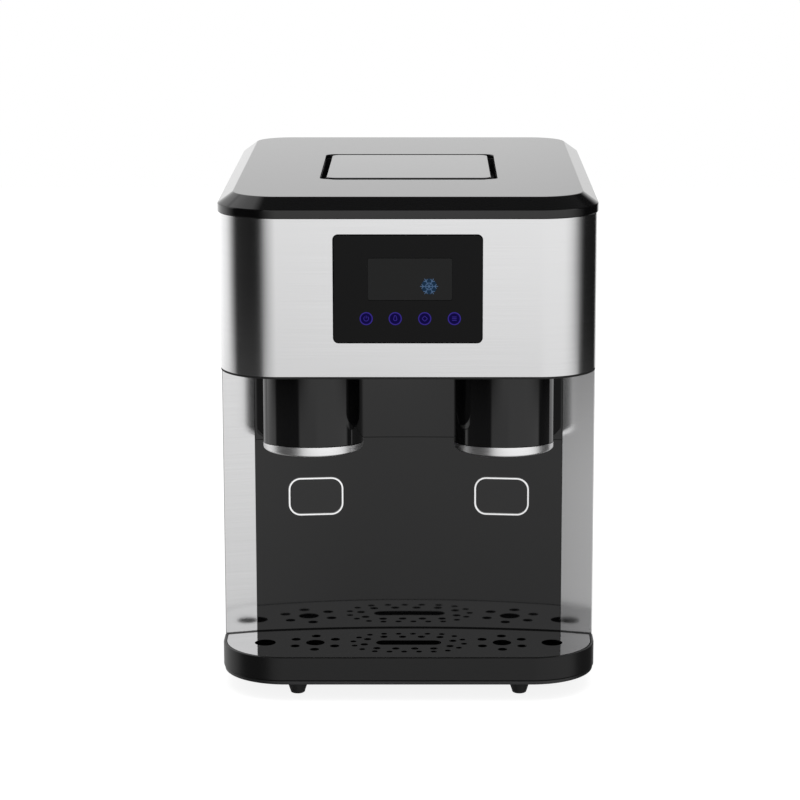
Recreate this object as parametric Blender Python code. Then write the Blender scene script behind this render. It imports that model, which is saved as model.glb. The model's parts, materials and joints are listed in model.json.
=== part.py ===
"""Construction model of a countertop flake ice maker with an ice spout and a water spout.

Metres, +Z up, standing on z = 0. Depths are measured back from the front of the top cover.
An empty called housing carries every piece and puts the origin under the middle of the machine.
"""

import math

import bmesh
import bpy
from mathutils import Matrix, Vector

# Fits and facets shared by all pieces
GAP = 0.0003
OVERRUN = 0.004
WELD = 0.000001
SHARP_ANGLE = math.radians(32)
HOUSING_STEPS = 8
ROUND_STEPS = 24
SMALL_STEPS = 12

# Top cover and refill lid
COVER_OVERHANG = 0.001
COVER_REAR_OVERHANG = 0.012
COVER_RADIUS = 0.051
COVER_REAR_RADIUS = 0.045
COVER_BAND = 0.007
COVER_BEVEL_RUN = 0.013
COVER_BEVEL_RISE = 0.0094
COVER_WALL = 0.003
REFILL_WIDTH = 0.1524
REFILL_DEPTH = 0.173
REFILL_FRONT = 0.123
REFILL_RADIUS = 0.009
LID_SIDE_SLOT = 0.0054
LID_END_GAP = 0.001
LID_TOP = 0.0025
LID_SKIRT = 0.0022
WELL_WALL = 0.002
WELL_HEIGHT = 0.0155
WELL_LEDGE = 0.011

# Levels of the housing, from the floor up
FOOT_HEIGHT = 0.0148
BASE_THICKNESS = 0.0032
TRAY_HEIGHT = 0.0199
BAY_HEIGHT = 0.2413
HEAD_HEIGHT = 0.1316

# Steel housing
SHEET = 0.0015
BODY_WIDTH = 0.317
BODY_REAR = 0.430
HEAD_INSET = 0.001
HEAD_RADIUS = 0.0495
REAR_RADIUS = 0.040
HEAD_SETBACK = 0.0015
BAY_DEPTH = 0.091
BAY_ARC = 0.80
BAY_STEPS = 16
COLUMN_STEPS = 3
COLUMN_RETURN = 0.010
REAR_FLANGE = 0.012
COLUMN_WIDTH = 0.0279
PANEL_THICKNESS = 0.0025
SEAM_DROP = 0.0707
DECK_RECESS = 0.0005
DECK_THICKNESS = 0.003
DECK_REAR_INSET = 0.114

# Feet
FOOT_INSET = 0.064
FOOT_FRONT = 0.028
FOOT_REAR_INSET = 0.030
FOOT_TOP_RADIUS = 0.0104
FOOT_TIP_RADIUS = 0.0062
FOOT_TIP_FILLET = 0.0015

# Control panel
FASCIA_WIDTH = 0.1223
FASCIA_HEIGHT = 0.0897
FASCIA_RISE = 0.0288
FASCIA_RADIUS = 0.0042
FASCIA_THICKNESS = 0.0036
FASCIA_PROUD = 0.001
SCREEN_WIDTH = 0.069
SCREEN_HEIGHT = 0.0347
SCREEN_RISE = 0.0358
SCREEN_SHIFT = 0.0018
SCREEN_RADIUS = 0.0015
SCREEN_THICKNESS = 0.0012
BOARD_MARGIN = 0.006
BOARD_THICKNESS = 0.006

# Spouts
SPOUT_INSET = 0.0785
SPOUT_RADIUS = 0.0415
SPOUT_DEPTH = 0.058
SPOUT_WALL = 0.003
SPOUT_DROP = 0.0715
SPOUT_STEPS = 16
RING_WALL = 0.0045
RING_SIDE_HEIGHT = 0.0046
RING_FRONT_RISE = 0.0038

# Push pads
PAD_WIDTH = 0.0475
PAD_HEIGHT = 0.0336
PAD_DROP = 0.1224
PAD_RADIUS = 0.0094
PAD_TRIM = 0.0017
PAD_TRIM_PROUD = 0.0004
PAD_THICKNESS = 0.003
PAD_STEM_RADIUS = 0.005
PAD_STEM = 0.004
PAD_TRAVEL = 0.003
SWITCH_LENGTH = 0.064
SWITCH_HEIGHT = 0.016
SWITCH_BODY = 0.010
SWITCH_LEG = 0.006

# Drip tray and its plate
TRAY_INSET = 0.0005
TRAY_FRONT = 0.0008
TRAY_RADIUS = 0.054
TRAY_RIM = 0.003
TRAY_LEDGE = 0.0035
TRAY_FLOOR = 0.0025
PLATE_THICKNESS = 0.001
PATTERN_DEPTH = 0.046
END_HOLE_INSET = 0.0351
END_HOLE_RADIUS = 0.009
GROUP_HOLE_RADIUS = 0.008
GROUP_RING_RADIUS = 0.0195
GROUP_SMALL_RADIUS = 0.004
GROUP_COUNT = 6
SLOT_LENGTH = 0.056
SLOT_WIDTH = 0.013
SLOT_RINGS = ((0.0172, 12, 0.0032), (0.0262, 20, 0.0026))
SLOT_RING_STRAIGHT = 0.043

# Water side
TANK_SIDE_MARGIN = 0.008
TANK_BIN_GAP = 0.008
TANK_FRONT = 0.118
TANK_REAR_MARGIN = 0.004
TANK_HEIGHT = 0.1205
TANK_WALL = 0.0025
TANK_RADIUS = 0.008
PUMP_SHIFT = 0.005
PUMP_LENGTH = 0.050
PUMP_DEPTH = 0.090
PUMP_RADIUS = 0.020
PUMP_FOOT = 0.002
PUMP_SOLE_MARGIN = 0.004
PUMP_STUB_SHIFT = 0.020
PUMP_STUB_RADIUS = 0.0045
PUMP_STUB = 0.008
NOZZLE_RADIUS = 0.0055
NOZZLE_BORE = 0.0035
NOZZLE_FLANGE = 0.009
NOZZLE_FLANGE_HEIGHT = 0.003
NOZZLE_DROP = 0.057
NOZZLE_STUB = 0.014
HOSE_RADIUS = 0.004
HOSE_ARCH = 0.046

# Ice side
BIN_SIDE_MARGIN = 0.011
BIN_REACH = 0.074
BIN_STRIP_REACH = 0.022
BIN_FRONT = 0.0225
BIN_TANK_GAP = 0.006
BIN_BARREL_GAP = 0.029
BIN_WALL = 0.0025
CHUTE_WALL_REACH = 0.033
CHUTE_RADIUS = 0.029
CHUTE_WALL = 0.002
CHUTE_DROP = 0.016
CHUTE_FLANGE = 0.0315
CHUTE_FLANGE_HEIGHT = 0.0025
LUG_SPREAD = 0.0310
LUG_WIDTH = 0.0035
LUG_REACH = 0.003
LUG_ROOT = 0.0236
LUG_HEIGHT = 0.017
FLAP_RADIUS = 0.0262
FLAP_THICKNESS = 0.002
FLAP_CLEARANCE = 0.0006
FLAP_AXIS_REACH = 0.0275
FLAP_AXIS_DROP = 0.004
FLAP_BARREL_RADIUS = 0.003
FLAP_BARREL_LENGTH = 0.020
PIN_RADIUS = 0.00115
PIN_BORE = 0.0015
SOLENOID_WIDTH = 0.024
SOLENOID_LENGTH = 0.034
SOLENOID_HEIGHT = 0.028
SOLENOID_DROP = 0.004

# Ice making unit
BARREL_INSET = 0.048
BARREL_REAR_INSET = 0.065
BARREL_RADIUS = 0.036
BARREL_BORE = 0.0245
BARREL_HEIGHT = 0.200
AUGER_SHAFT = 0.008
AUGER_FLIGHT = 0.022
AUGER_PITCH = 0.040
AUGER_TURNS = 4.5
AUGER_TURN_STEPS = 10
AUGER_LAND_SHARE = 0.2
AUGER_LAND_SPOT_SHARES = (0, 0.5, 1)
AUGER_SHAFT_SPOT_SHARES = (0.03, 0.25, 0.5, 0.75, 0.97)
MOTOR_SIDE = 0.080
MOTOR_CORNER = 0.004
MOTOR_HEIGHT = 0.0817
MOTOR_STUB = 0.010
MOTOR_CAN_RADIUS = 0.026
MOTOR_CAN_GAP = 0.012
OUTLET_HEIGHT = 0.052
OUTLET_WALL = 0.0025
DUCT_WIDTH = 0.038
DUCT_HEIGHT = 0.030
DUCT_RISE = 0.016

# Cooling unit
COMPRESSOR_SHIFT = 0.038
COMPRESSOR_RADIUS = 0.054
COMPRESSOR_FLANGE = 0.062
COMPRESSOR_FLANGE_HEIGHT = 0.003
COMPRESSOR_HEIGHT = 0.172
COMPRESSOR_FLAT = 0.034
COMPRESSOR_SHOULDER = 0.026
FAN_INSET = 0.0905
FAN_SIDE = 0.130
FAN_CORNER = 0.004
FAN_THICKNESS = 0.025
FAN_REAR_INSET = 0.005
FAN_BORE = 0.060
FAN_TIP = 0.057
FAN_HUB = 0.019
FAN_HUB_LENGTH = 0.017
FAN_STRUT_PLATE = 0.0045
FAN_STRUT = 0.006
FAN_STRUTS = 4
FAN_BLADES = 7
BLADE_THICKNESS = 0.002
BLADE_HEIGHT_SHARE = 0.8
BLADE_ROOT_SHARE = 1.35
BLADE_TIP_CHORD_SHARE = 1.9
CONDENSER_DEPTH = 0.028
CONDENSER_SPINE = 0.006
CONDENSER_FINS = 16
FIN_THICKNESS = 0.002
PIPE_RADIUS = 0.003
PIPE_LIFT = 0.032
PIPE_SPAN_SHARES = (1 / 6, 1 / 2, 5 / 6)
BOARD_BOX_WIDTH = 0.038
BOARD_BOX_FRONT = 0.120
BOARD_BOX_DEPTH = 0.120
BOARD_BOX_LOW = 0.060
BOARD_BOX_HEIGHT = 0.130

# Rear panel and what it carries
LOUVRE_WIDTH = 0.100
LOUVRE_HEIGHT = 0.004
LOUVRE_PITCH = 0.010
LOUVRE_MARGIN = 0.0155
LOUVRE_FAN_COUNT = 11
LOUVRE_HIGH_LEVEL = 0.230
LOUVRE_HIGH_COUNT = 7
INLET_INSET = 0.0395
INLET_LEVEL = 0.085
INLET_BODY = (0.0275, 0.0200)
INLET_FLANGE = (0.0480, 0.0270)
INLET_SOCKET = (0.0240, 0.0165)
INLET_FLANGE_THICKNESS = 0.0025
INLET_BODY_DEPTH = 0.022
INLET_SOCKET_DEPTH = 0.016
INLET_RADIUS = 0.003
INLET_PIN = (0.002, 0.004)
INLET_PIN_LENGTH = 0.012
INLET_PIN_SPREAD = 0.007
INLET_PIN_ROOT = 0.002
DRAIN_LEVEL = 0.045
DRAIN_RADIUS = 0.009
DRAIN_BORE = 0.0068
DRAIN_FLANGE = 0.013
DRAIN_FLANGE_THICKNESS = 0.002
DRAIN_PIPE = 0.022
DRAIN_PROUD = 0.0045
PLUG_STEM = 0.0063
PLUG_HEAD = 0.0085
PLUG_LENGTH = 0.012
PLUG_HEAD_THICKNESS = 0.004
SCREW_HEAD = 0.004
SCREW_HEAD_HEIGHT = 0.0018
SCREW_CROWN_SHARE = 0.8
SCREW_SHANK = 0.0016
SCREW_LENGTH = 0.006
SCREW_MARGIN = 0.012

# Widths and depths worked out from the sizes above
HEAD_WIDTH = BODY_WIDTH - 2 * HEAD_INSET
COVER_WIDTH = HEAD_WIDTH + 2 * COVER_OVERHANG
COVER_DEPTH = BODY_REAR + COVER_REAR_OVERHANG
PANEL_WIDTH = BODY_WIDTH - 2 * COLUMN_WIDTH
TRAY_WIDTH = BODY_WIDTH - 2 * TRAY_INSET
FOOT_PLACE = BODY_WIDTH / 2 - FOOT_INSET
FOOT_REAR = BODY_REAR - FOOT_REAR_INSET
SPOUT_PLACE = BODY_WIDTH / 2 - SPOUT_INSET
SPOUT_WALL_DEPTH = BAY_DEPTH - BAY_ARC + math.sqrt(BAY_ARC ** 2 - SPOUT_PLACE ** 2)
CHUTE_DEPTH = SPOUT_WALL_DEPTH - CHUTE_WALL_REACH
FLAP_AXIS_DEPTH = CHUTE_DEPTH + FLAP_AXIS_REACH
END_HOLE_PLACE = TRAY_WIDTH / 2 - END_HOLE_INSET
REAR_HALF = HEAD_WIDTH / 2 - REAR_RADIUS
INSIDE_HALF = HEAD_WIDTH / 2 - SHEET
BARREL_PLACE = BARREL_INSET - BODY_WIDTH / 2
BARREL_DEPTH = BODY_REAR - BARREL_REAR_INSET
COMPRESSOR_PLACE = BARREL_PLACE + COMPRESSOR_SHIFT
COMPRESSOR_DEPTH = (BAY_DEPTH + BARREL_DEPTH - MOTOR_SIDE / 2) / 2
FAN_PLACE = BODY_WIDTH / 2 - FAN_INSET
FAN_REAR = BODY_REAR - FAN_REAR_INSET
FAN_FRONT = FAN_REAR - FAN_THICKNESS
DECK_REAR = BODY_REAR - DECK_REAR_INSET
BIN_LEFT = BIN_SIDE_MARGIN - INSIDE_HALF
BIN_RIGHT = BIN_REACH - SPOUT_PLACE
BIN_STRIP_RIGHT = BARREL_PLACE + BIN_STRIP_REACH
BIN_STEP = TANK_FRONT - BIN_TANK_GAP
BIN_REAR = BARREL_DEPTH - BARREL_RADIUS - BIN_BARREL_GAP
TANK_LEFT = BIN_STRIP_RIGHT + TANK_BIN_GAP
TANK_RIGHT = INSIDE_HALF - TANK_SIDE_MARGIN
TANK_REAR = DECK_REAR - TANK_REAR_MARGIN
PUMP_LEFT = SPOUT_PLACE + PUMP_SHIFT
PUMP_RIGHT = PUMP_LEFT + PUMP_LENGTH
PUMP_STUB_PLACE = SPOUT_PLACE + PUMP_STUB_SHIFT
LOUVRE_PLACE = REAR_HALF - LOUVRE_MARGIN - LOUVRE_WIDTH / 2
INLET_PLACE = INLET_INSET - REAR_HALF
DRAIN_PLACE = INLET_PLACE
REAR_PANEL_FRONT = BODY_REAR + GAP
REAR_PANEL_REAR = REAR_PANEL_FRONT + SHEET
SCREW_PLACE = REAR_HALF - REAR_FLANGE / 2

# Levels worked out from the sizes above
BASE_LOW = FOOT_HEIGHT
BASE_HIGH = BASE_LOW + BASE_THICKNESS
BODY_LOW = BASE_HIGH + GAP
TRAY_HIGH = BODY_LOW + TRAY_HEIGHT
HEAD_LOW = TRAY_HIGH + BAY_HEIGHT
HEAD_HIGH = HEAD_LOW + HEAD_HEIGHT
COVER_LOW = HEAD_HIGH + GAP
BAND_HIGH = COVER_LOW + COVER_BAND
COVER_HIGH = BAND_HIGH + COVER_BEVEL_RISE
BODY_HIGH = HEAD_LOW - GAP
SEAM_LEVEL = HEAD_LOW - SEAM_DROP
DECK_LOW = HEAD_LOW + DECK_RECESS
DECK_HIGH = DECK_LOW + DECK_THICKNESS
SHELF_LEVEL = DECK_HIGH + GAP
RING_LOW = HEAD_LOW - SPOUT_DROP
RING_SLOPE = RING_FRONT_RISE / SPOUT_RADIUS
PAD_LEVEL = HEAD_LOW - PAD_DROP
FASCIA_FRONT = HEAD_SETBACK - FASCIA_PROUD
FASCIA_LEVEL = HEAD_LOW + FASCIA_RISE + FASCIA_HEIGHT / 2
SCREEN_LEVEL = HEAD_LOW + FASCIA_RISE + SCREEN_RISE + SCREEN_HEIGHT / 2
WELL_HIGH = COVER_HIGH - COVER_WALL - GAP
WELL_LOW = WELL_HIGH - WELL_HEIGHT
LID_LOW = WELL_LOW + WELL_WALL + GAP
CHUTE_LOW = DECK_LOW - CHUTE_DROP
FLAP_AXIS_LEVEL = CHUTE_LOW - FLAP_AXIS_DROP
MOTOR_HIGH = BODY_LOW + MOTOR_HEIGHT
BARREL_LOW = MOTOR_HIGH + GAP
BARREL_HIGH = BARREL_LOW + BARREL_HEIGHT
FAN_LEVEL = BODY_LOW + FAN_SIDE / 2
SCREW_LOW = BODY_LOW + SCREW_MARGIN
SCREW_HIGH = HEAD_HIGH - SCREW_MARGIN

# Colours of the finishes: colour, roughness, metallic
BRUSHED_STEEL = ((0.62, 0.62, 0.63), 0.32, 1.0)
POLISHED_STEEL = ((0.70, 0.70, 0.71), 0.08, 1.0)
CHROME = ((0.80, 0.80, 0.81), 0.10, 1.0)
BLACK_GLOSS = ((0.010, 0.010, 0.011), 0.08, 0.0)
BLACK_SATIN = ((0.014, 0.014, 0.015), 0.40, 0.0)
BLACK_RUBBER = ((0.012, 0.012, 0.012), 0.75, 0.0)
SCREEN_BLACK = ((0.014, 0.015, 0.018), 0.05, 0.0)
BOARD_GREEN = ((0.02, 0.11, 0.05), 0.50, 0.0)
CLEAR_GREY = ((0.55, 0.58, 0.60), 0.30, 0.0)
WHITE_PLASTIC = ((0.72, 0.72, 0.70), 0.40, 0.0)
COPPER = ((0.72, 0.38, 0.25), 0.30, 1.0)
ALUMINIUM = ((0.68, 0.69, 0.70), 0.38, 1.0)
PAINTED_BLACK = ((0.012, 0.012, 0.013), 0.35, 0.0)


def clear_scene():
    """Remove every object that the scene holds."""
    for item in list(bpy.data.objects):
        bpy.data.objects.remove(item, do_unlink=True)


def make_material(name, finish):
    """A Principled material of one colour, roughness and metallic value."""
    colour, roughness, metallic = finish
    material = bpy.data.materials.new(name)
    material.use_nodes = True
    shader = material.node_tree.nodes["Principled BSDF"]
    shader.inputs["Base Color"].default_value = (*colour, 1.0)
    shader.inputs["Roughness"].default_value = roughness
    shader.inputs["Metallic"].default_value = metallic
    return material


def make_housing():
    """The empty that carries every piece and centres the machine on the origin."""
    housing = bpy.data.objects.new("housing", None)
    housing.location = (0, -COVER_DEPTH / 2, 0)
    bpy.context.collection.objects.link(housing)
    return housing


def to_mesh(name, body, origin):
    """Turn a bmesh into a mesh whose zero lies at the given point."""
    bmesh.ops.translate(body, vec=-Vector(origin), verts=body.verts)
    bmesh.ops.recalc_face_normals(body, faces=body.faces)
    mesh = bpy.data.meshes.new(name)
    body.to_mesh(mesh)
    body.free()
    mesh.shade_smooth()
    mesh.set_sharp_from_angle(angle=SHARP_ANGLE)
    return mesh


def place(name, mesh, housing, origin):
    """Link one object under the housing."""
    item = bpy.data.objects.new(name, mesh)
    item.parent = housing
    item.location = origin
    bpy.context.collection.objects.link(item)
    return item


def add_piece(name, body, finish, housing, origin=(0, 0, 0)):
    """One named piece with its own material."""
    item = place(name, to_mesh(name, body, origin), housing, origin)
    item.data.materials.append(make_material(name, finish))
    return item


def shape_with(item, tool, operation, housing):
    """Cut a tool solid from a piece, or join it on."""
    name = f"{item.name}_tool_{len(item.modifiers)}"
    helper = place(name, to_mesh(name, tool, (0, 0, 0)), housing, (0, 0, 0))
    helper.hide_render = True
    helper.display_type = "WIRE"
    boolean = item.modifiers.new(operation.lower(), "BOOLEAN")
    boolean.operation = operation
    boolean.object = helper
    return item


def cut(item, tool, housing):
    """Cut a tool solid away from a piece."""
    return shape_with(item, tool, "DIFFERENCE", housing)


def fuse(item, tool, housing):
    """Join a tool solid to a piece."""
    return shape_with(item, tool, "UNION", housing)


def upright(along, across, level):
    """Outline across X and Y, extruded up Z."""
    return (along, across, level)


def facing(along, across, level):
    """Outline across X and Z, extruded back along Y."""
    return (along, level, across)


def prism(outline, low, high, lay=upright, body=None):
    """Extrude a closed outline between two levels, which may be functions of its points."""
    body = body or bmesh.new()
    start = low if callable(low) else lambda along, across: low
    stop = high if callable(high) else lambda along, across: high
    bottom = [body.verts.new(lay(a, b, start(a, b))) for a, b in outline]
    face = body.faces.new(bottom)
    grown = bmesh.ops.extrude_face_region(body, geom=[face])["geom"]
    top = [part for part in grown if isinstance(part, bmesh.types.BMVert)]
    by_place = {tuple(round(value, 9) for value in vert.co): vert for vert in top}
    for vert, (a, b) in zip(bottom, outline):
        key = tuple(round(value, 9) for value in vert.co)
        by_place[key].co = Vector(lay(a, b, stop(a, b)))
    return body


def end_face(body, direction):
    """The face that lies furthest along a direction and looks that way."""
    bmesh.ops.recalc_face_normals(body, faces=body.faces)
    aim = Vector(direction)
    looking = [face for face in body.faces if face.normal.dot(aim) > math.cos(SHARP_ANGLE)]
    return max(looking, key=lambda face: face.calc_center_median().dot(aim))


def step(body, face, inset, shift):
    """Inset a face, then extrude the inner face by a shift, leaving a flat rim."""
    if inset > 0:
        bmesh.ops.inset_region(body, faces=[face], thickness=inset, use_even_offset=True)
    grown = bmesh.ops.extrude_face_region(body, geom=[face])["geom"]
    moved = [part for part in grown if isinstance(part, bmesh.types.BMVert)]
    inner = [part for part in grown if isinstance(part, bmesh.types.BMFace)]
    bmesh.ops.translate(body, vec=Vector(shift), verts=moved)
    if face.is_valid:
        bmesh.ops.delete(body, geom=[face], context="FACES_ONLY")
    return inner[0]


def slant(body, face, inset, shift):
    """Inset a face and shift it, leaving a sloped rim."""
    bmesh.ops.inset_region(body, faces=[face], thickness=inset, use_even_offset=True)
    bmesh.ops.translate(body, vec=Vector(shift), verts=face.verts)
    return face


def arc(centre, radius, start, stop, steps):
    """Points on an arc, both ends included, angles in degrees."""
    angles = (math.radians(start + (stop - start) * index / steps) for index in range(steps + 1))
    return [(centre[0] + radius * math.cos(a), centre[1] + radius * math.sin(a)) for a in angles]


def circle(centre, radius, steps=ROUND_STEPS):
    """Points of a closed round outline."""
    return arc(centre, radius, 0, 360, steps)[:-1]


def rounded(centre, width, height, radius, steps=HOUSING_STEPS, far_radius=None):
    """Closed outline of a rectangle with round corners, the two far ones with a radius of their own."""
    outline = []
    for quarter, (side_x, side_y) in enumerate(((1, 1), (-1, 1), (-1, -1), (1, -1))):
        bend = far_radius if far_radius and side_y > 0 else radius
        middle = (centre[0] + side_x * (width / 2 - bend), centre[1] + side_y * (height / 2 - bend))
        outline += arc(middle, bend, 90 * quarter, 90 * quarter + 90, steps)
    return outline


def box_outline(left, right, front, rear):
    """Closed outline of a plain rectangle."""
    return [(left, front), (right, front), (right, rear), (left, rear)]


def wrap_path(inset):
    """Open path round the head, drawn in by an inset, between the ends of its two rear flanges."""
    half = HEAD_WIDTH / 2 - inset
    front = HEAD_SETBACK + inset
    rear = BODY_REAR - inset
    bend = REAR_RADIUS - inset
    turn = HEAD_RADIUS - inset
    side = [(REAR_HALF - REAR_FLANGE, rear)] + arc((REAR_HALF, rear - bend), bend, 90, 0, HOUSING_STEPS)
    side += arc((half - turn, front + turn), turn, 0, -90, HOUSING_STEPS)
    return mirrored(side, -1) + side[::-1]


def front_path(width, front, rear, radius):
    """Open path from the rear left corner round the front to the rear right corner."""
    half = width / 2
    left = arc((radius - half, front + radius), radius, 180, 270, HOUSING_STEPS)
    right = arc((half - radius, front + radius), radius, 270, 360, HOUSING_STEPS)
    return [(-half, rear)] + left + right + [(half, rear)]


def lathe(profile, steps, centre=(0, 0, 0), axis=(0, 0, 1)):
    """Turn a profile of radius and height about an axis through the centre."""
    body = bmesh.new()
    verts = [body.verts.new((radius, 0, height)) for radius, height in profile]
    edges = [body.edges.new(pair) for pair in zip(verts, verts[1:])]
    if all(radius > 0 for radius, _ in profile):
        edges.append(body.edges.new((verts[-1], verts[0])))
    bmesh.ops.spin(body, geom=verts + edges, cent=(0, 0, 0), axis=(0, 0, 1), angle=math.tau,
                   steps=steps, use_merge=True)
    bmesh.ops.remove_doubles(body, verts=body.verts, dist=WELD)
    turn = Vector((0, 0, 1)).rotation_difference(Vector(axis)).to_matrix().to_4x4()
    bmesh.ops.transform(body, matrix=Matrix.Translation(centre) @ turn, verts=body.verts)
    return body


def rod(radius, low, high, steps=ROUND_STEPS, centre=(0, 0, 0), axis=(0, 0, 1)):
    """A plain round bar between two levels on its axis."""
    return lathe([(0, low), (radius, low), (radius, high), (0, high)], steps, centre, axis)


def wall_depth(place_x, behind=0.0):
    """Depth of the concave bay wall at a place, or of a surface behind it."""
    return BAY_DEPTH - BAY_ARC + math.sqrt((BAY_ARC + behind) ** 2 - place_x ** 2)


def spread(first, last, count):
    """Evenly spaced values, both ends included."""
    return [first + (last - first) * index / (count - 1) for index in range(count)]


def mirrored(outline, side):
    """The outline, or its mirror image on the left."""
    return [(side * along, across) for along, across in outline]


def add_hose(name, route, radius, finish, housing):
    """A round tube along a smooth curve through its route."""
    curve = bpy.data.curves.new(name, "CURVE")
    curve.dimensions = "3D"
    curve.bevel_depth = radius
    curve.bevel_resolution = 2
    curve.use_fill_caps = True
    points = smooth_route([Vector(point) for point in route])
    spline = curve.splines.new("POLY")
    spline.points.add(len(points) - 1)
    for knot, point in zip(spline.points, points):
        knot.co = (*point, 1)
    item = place(name, curve, housing, (0, 0, 0))
    curve.materials.append(make_material(name, finish))
    return item


def smooth_route(route, steps=4):
    """Points of a smooth curve through the route, with straight ends kept."""
    points = []
    lead_in = (route[0] + route[1]) / 2
    lead_out = (route[-2] + route[-1]) / 2
    route = [route[0], lead_in] + route[1:-1] + [lead_out, route[-1]]
    ends = [2 * route[0] - route[1]] + route + [2 * route[-1] - route[-2]]
    for before, here, there, after in zip(ends, ends[1:], ends[2:], ends[3:]):
        for index in range(steps):
            t = index / steps
            points.append(((-before + 3 * here - 3 * there + after) * t ** 3
                           + (2 * before - 5 * here + 4 * there - after) * t ** 2
                           + (there - before) * t + 2 * here) / 2)
    return points + [route[-1]]


def screw_holes(sides, levels):
    """Tool that cuts the clearance holes of the rear screws at the given sides and levels."""
    tool = bmesh.new()
    for spot in ((side * SCREW_PLACE, level) for side in sides for level in levels):
        hole = circle(spot, SCREW_SHANK + GAP, 8)
        prism(hole, BODY_REAR - OVERRUN, REAR_PANEL_REAR + OVERRUN, facing, tool)
    return tool


def make_base(housing):
    """The shelf that the tray and the housing stand on, and its four feet."""
    outline = front_path(TRAY_WIDTH, TRAY_FRONT, BODY_REAR, TRAY_RADIUS)[1:-1]
    half = TRAY_WIDTH / 2 - REAR_RADIUS
    rear = REAR_PANEL_REAR - REAR_RADIUS
    outline += arc((half, rear), REAR_RADIUS, 0, 90, HOUSING_STEPS)
    outline += arc((-half, rear), REAR_RADIUS, 90, 180, HOUSING_STEPS)
    add_piece("base_pan", prism(outline, BASE_LOW, BASE_HIGH), BLACK_SATIN, housing)
    top = FOOT_HEIGHT - GAP
    profile = [(0, 0), (FOOT_TIP_RADIUS - FOOT_TIP_FILLET, 0), (FOOT_TIP_RADIUS, FOOT_TIP_FILLET),
               (FOOT_TOP_RADIUS, top), (0, top)]
    for row, depth in (("front", FOOT_FRONT), ("rear", FOOT_REAR)):
        for side, sign in (("left", -1), ("right", 1)):
            foot = lathe(profile, SMALL_STEPS, (sign * FOOT_PLACE, depth, 0))
            add_piece(f"foot_{row}_{side}", foot, BLACK_RUBBER, housing)


def make_side_panels(housing):
    """Two steel sides, each folded round its front column and back at the bay panel."""
    outer = BODY_WIDTH / 2
    inner = outer - SHEET
    edge = PANEL_WIDTH / 2
    face = [(x, wall_depth(x)) for x in spread(outer, edge, COLUMN_STEPS + 1)]
    back = [(x, wall_depth(x, SHEET)) for x in spread(edge + SHEET, inner, COLUMN_STEPS + 1)]
    fold = wall_depth(edge) + COLUMN_RETURN
    corner = (outer - REAR_RADIUS, BODY_REAR - REAR_RADIUS)
    flange = corner[0] - REAR_FLANGE
    outline = [(flange, BODY_REAR)] + arc(corner, REAR_RADIUS, 90, 0, HOUSING_STEPS)
    outline += face + [(edge, fold), (edge + SHEET, fold)] + back
    outline += arc(corner, REAR_RADIUS - SHEET, 0, 90, HOUSING_STEPS) + [(flange, BODY_REAR - SHEET)]
    for side, sign in (("left", -1), ("right", 1)):
        body = prism(mirrored(outline, sign), BODY_LOW, BODY_HIGH)
        panel = add_piece(f"side_panel_{side}", body, BRUSHED_STEEL, housing)
        cut(panel, screw_holes((sign,), (SCREW_LOW,)), housing)


def pad_frame(sign):
    """Place and turn of a push pad square to the bay wall."""
    place_x = sign * SPOUT_PLACE
    turn = Matrix.Rotation(-math.asin(place_x / BAY_ARC), 4, "Z")
    return Matrix.Translation((place_x, wall_depth(place_x), PAD_LEVEL)) @ turn


def pad_outline(inset):
    """Outline of the pad or its trim, drawn in by an inset."""
    return rounded((0, 0), PAD_WIDTH - 2 * inset, PAD_HEIGHT - 2 * inset, PAD_RADIUS - inset, 5)


def on_pad(body, sign):
    """Put a solid built round the pad's own middle on the bay wall."""
    bmesh.ops.transform(body, matrix=pad_frame(sign), verts=body.verts)
    return body


def make_bay_panels(housing):
    """The concave gloss panel of the bay, in a lower and an upper part."""
    edge = PANEL_WIDTH / 2 - GAP
    face = [(x, wall_depth(x)) for x in spread(-edge, edge, BAY_STEPS + 1)]
    back = [(x, wall_depth(x, PANEL_THICKNESS)) for x in spread(edge, -edge, BAY_STEPS + 1)]
    lower = prism(face + back, BODY_LOW, SEAM_LEVEL - GAP / 2)
    upper = prism(face + back, SEAM_LEVEL + GAP / 2, BODY_HIGH)
    panel = add_piece("bay_panel_lower", lower, BLACK_GLOSS, housing)
    for sign in (-1, 1):
        hole = prism(pad_outline(-GAP), -OVERRUN, PANEL_THICKNESS + OVERRUN, facing)
        cut(panel, on_pad(hole, sign), housing)
    add_piece("bay_panel_upper", upper, BLACK_GLOSS, housing)


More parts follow.
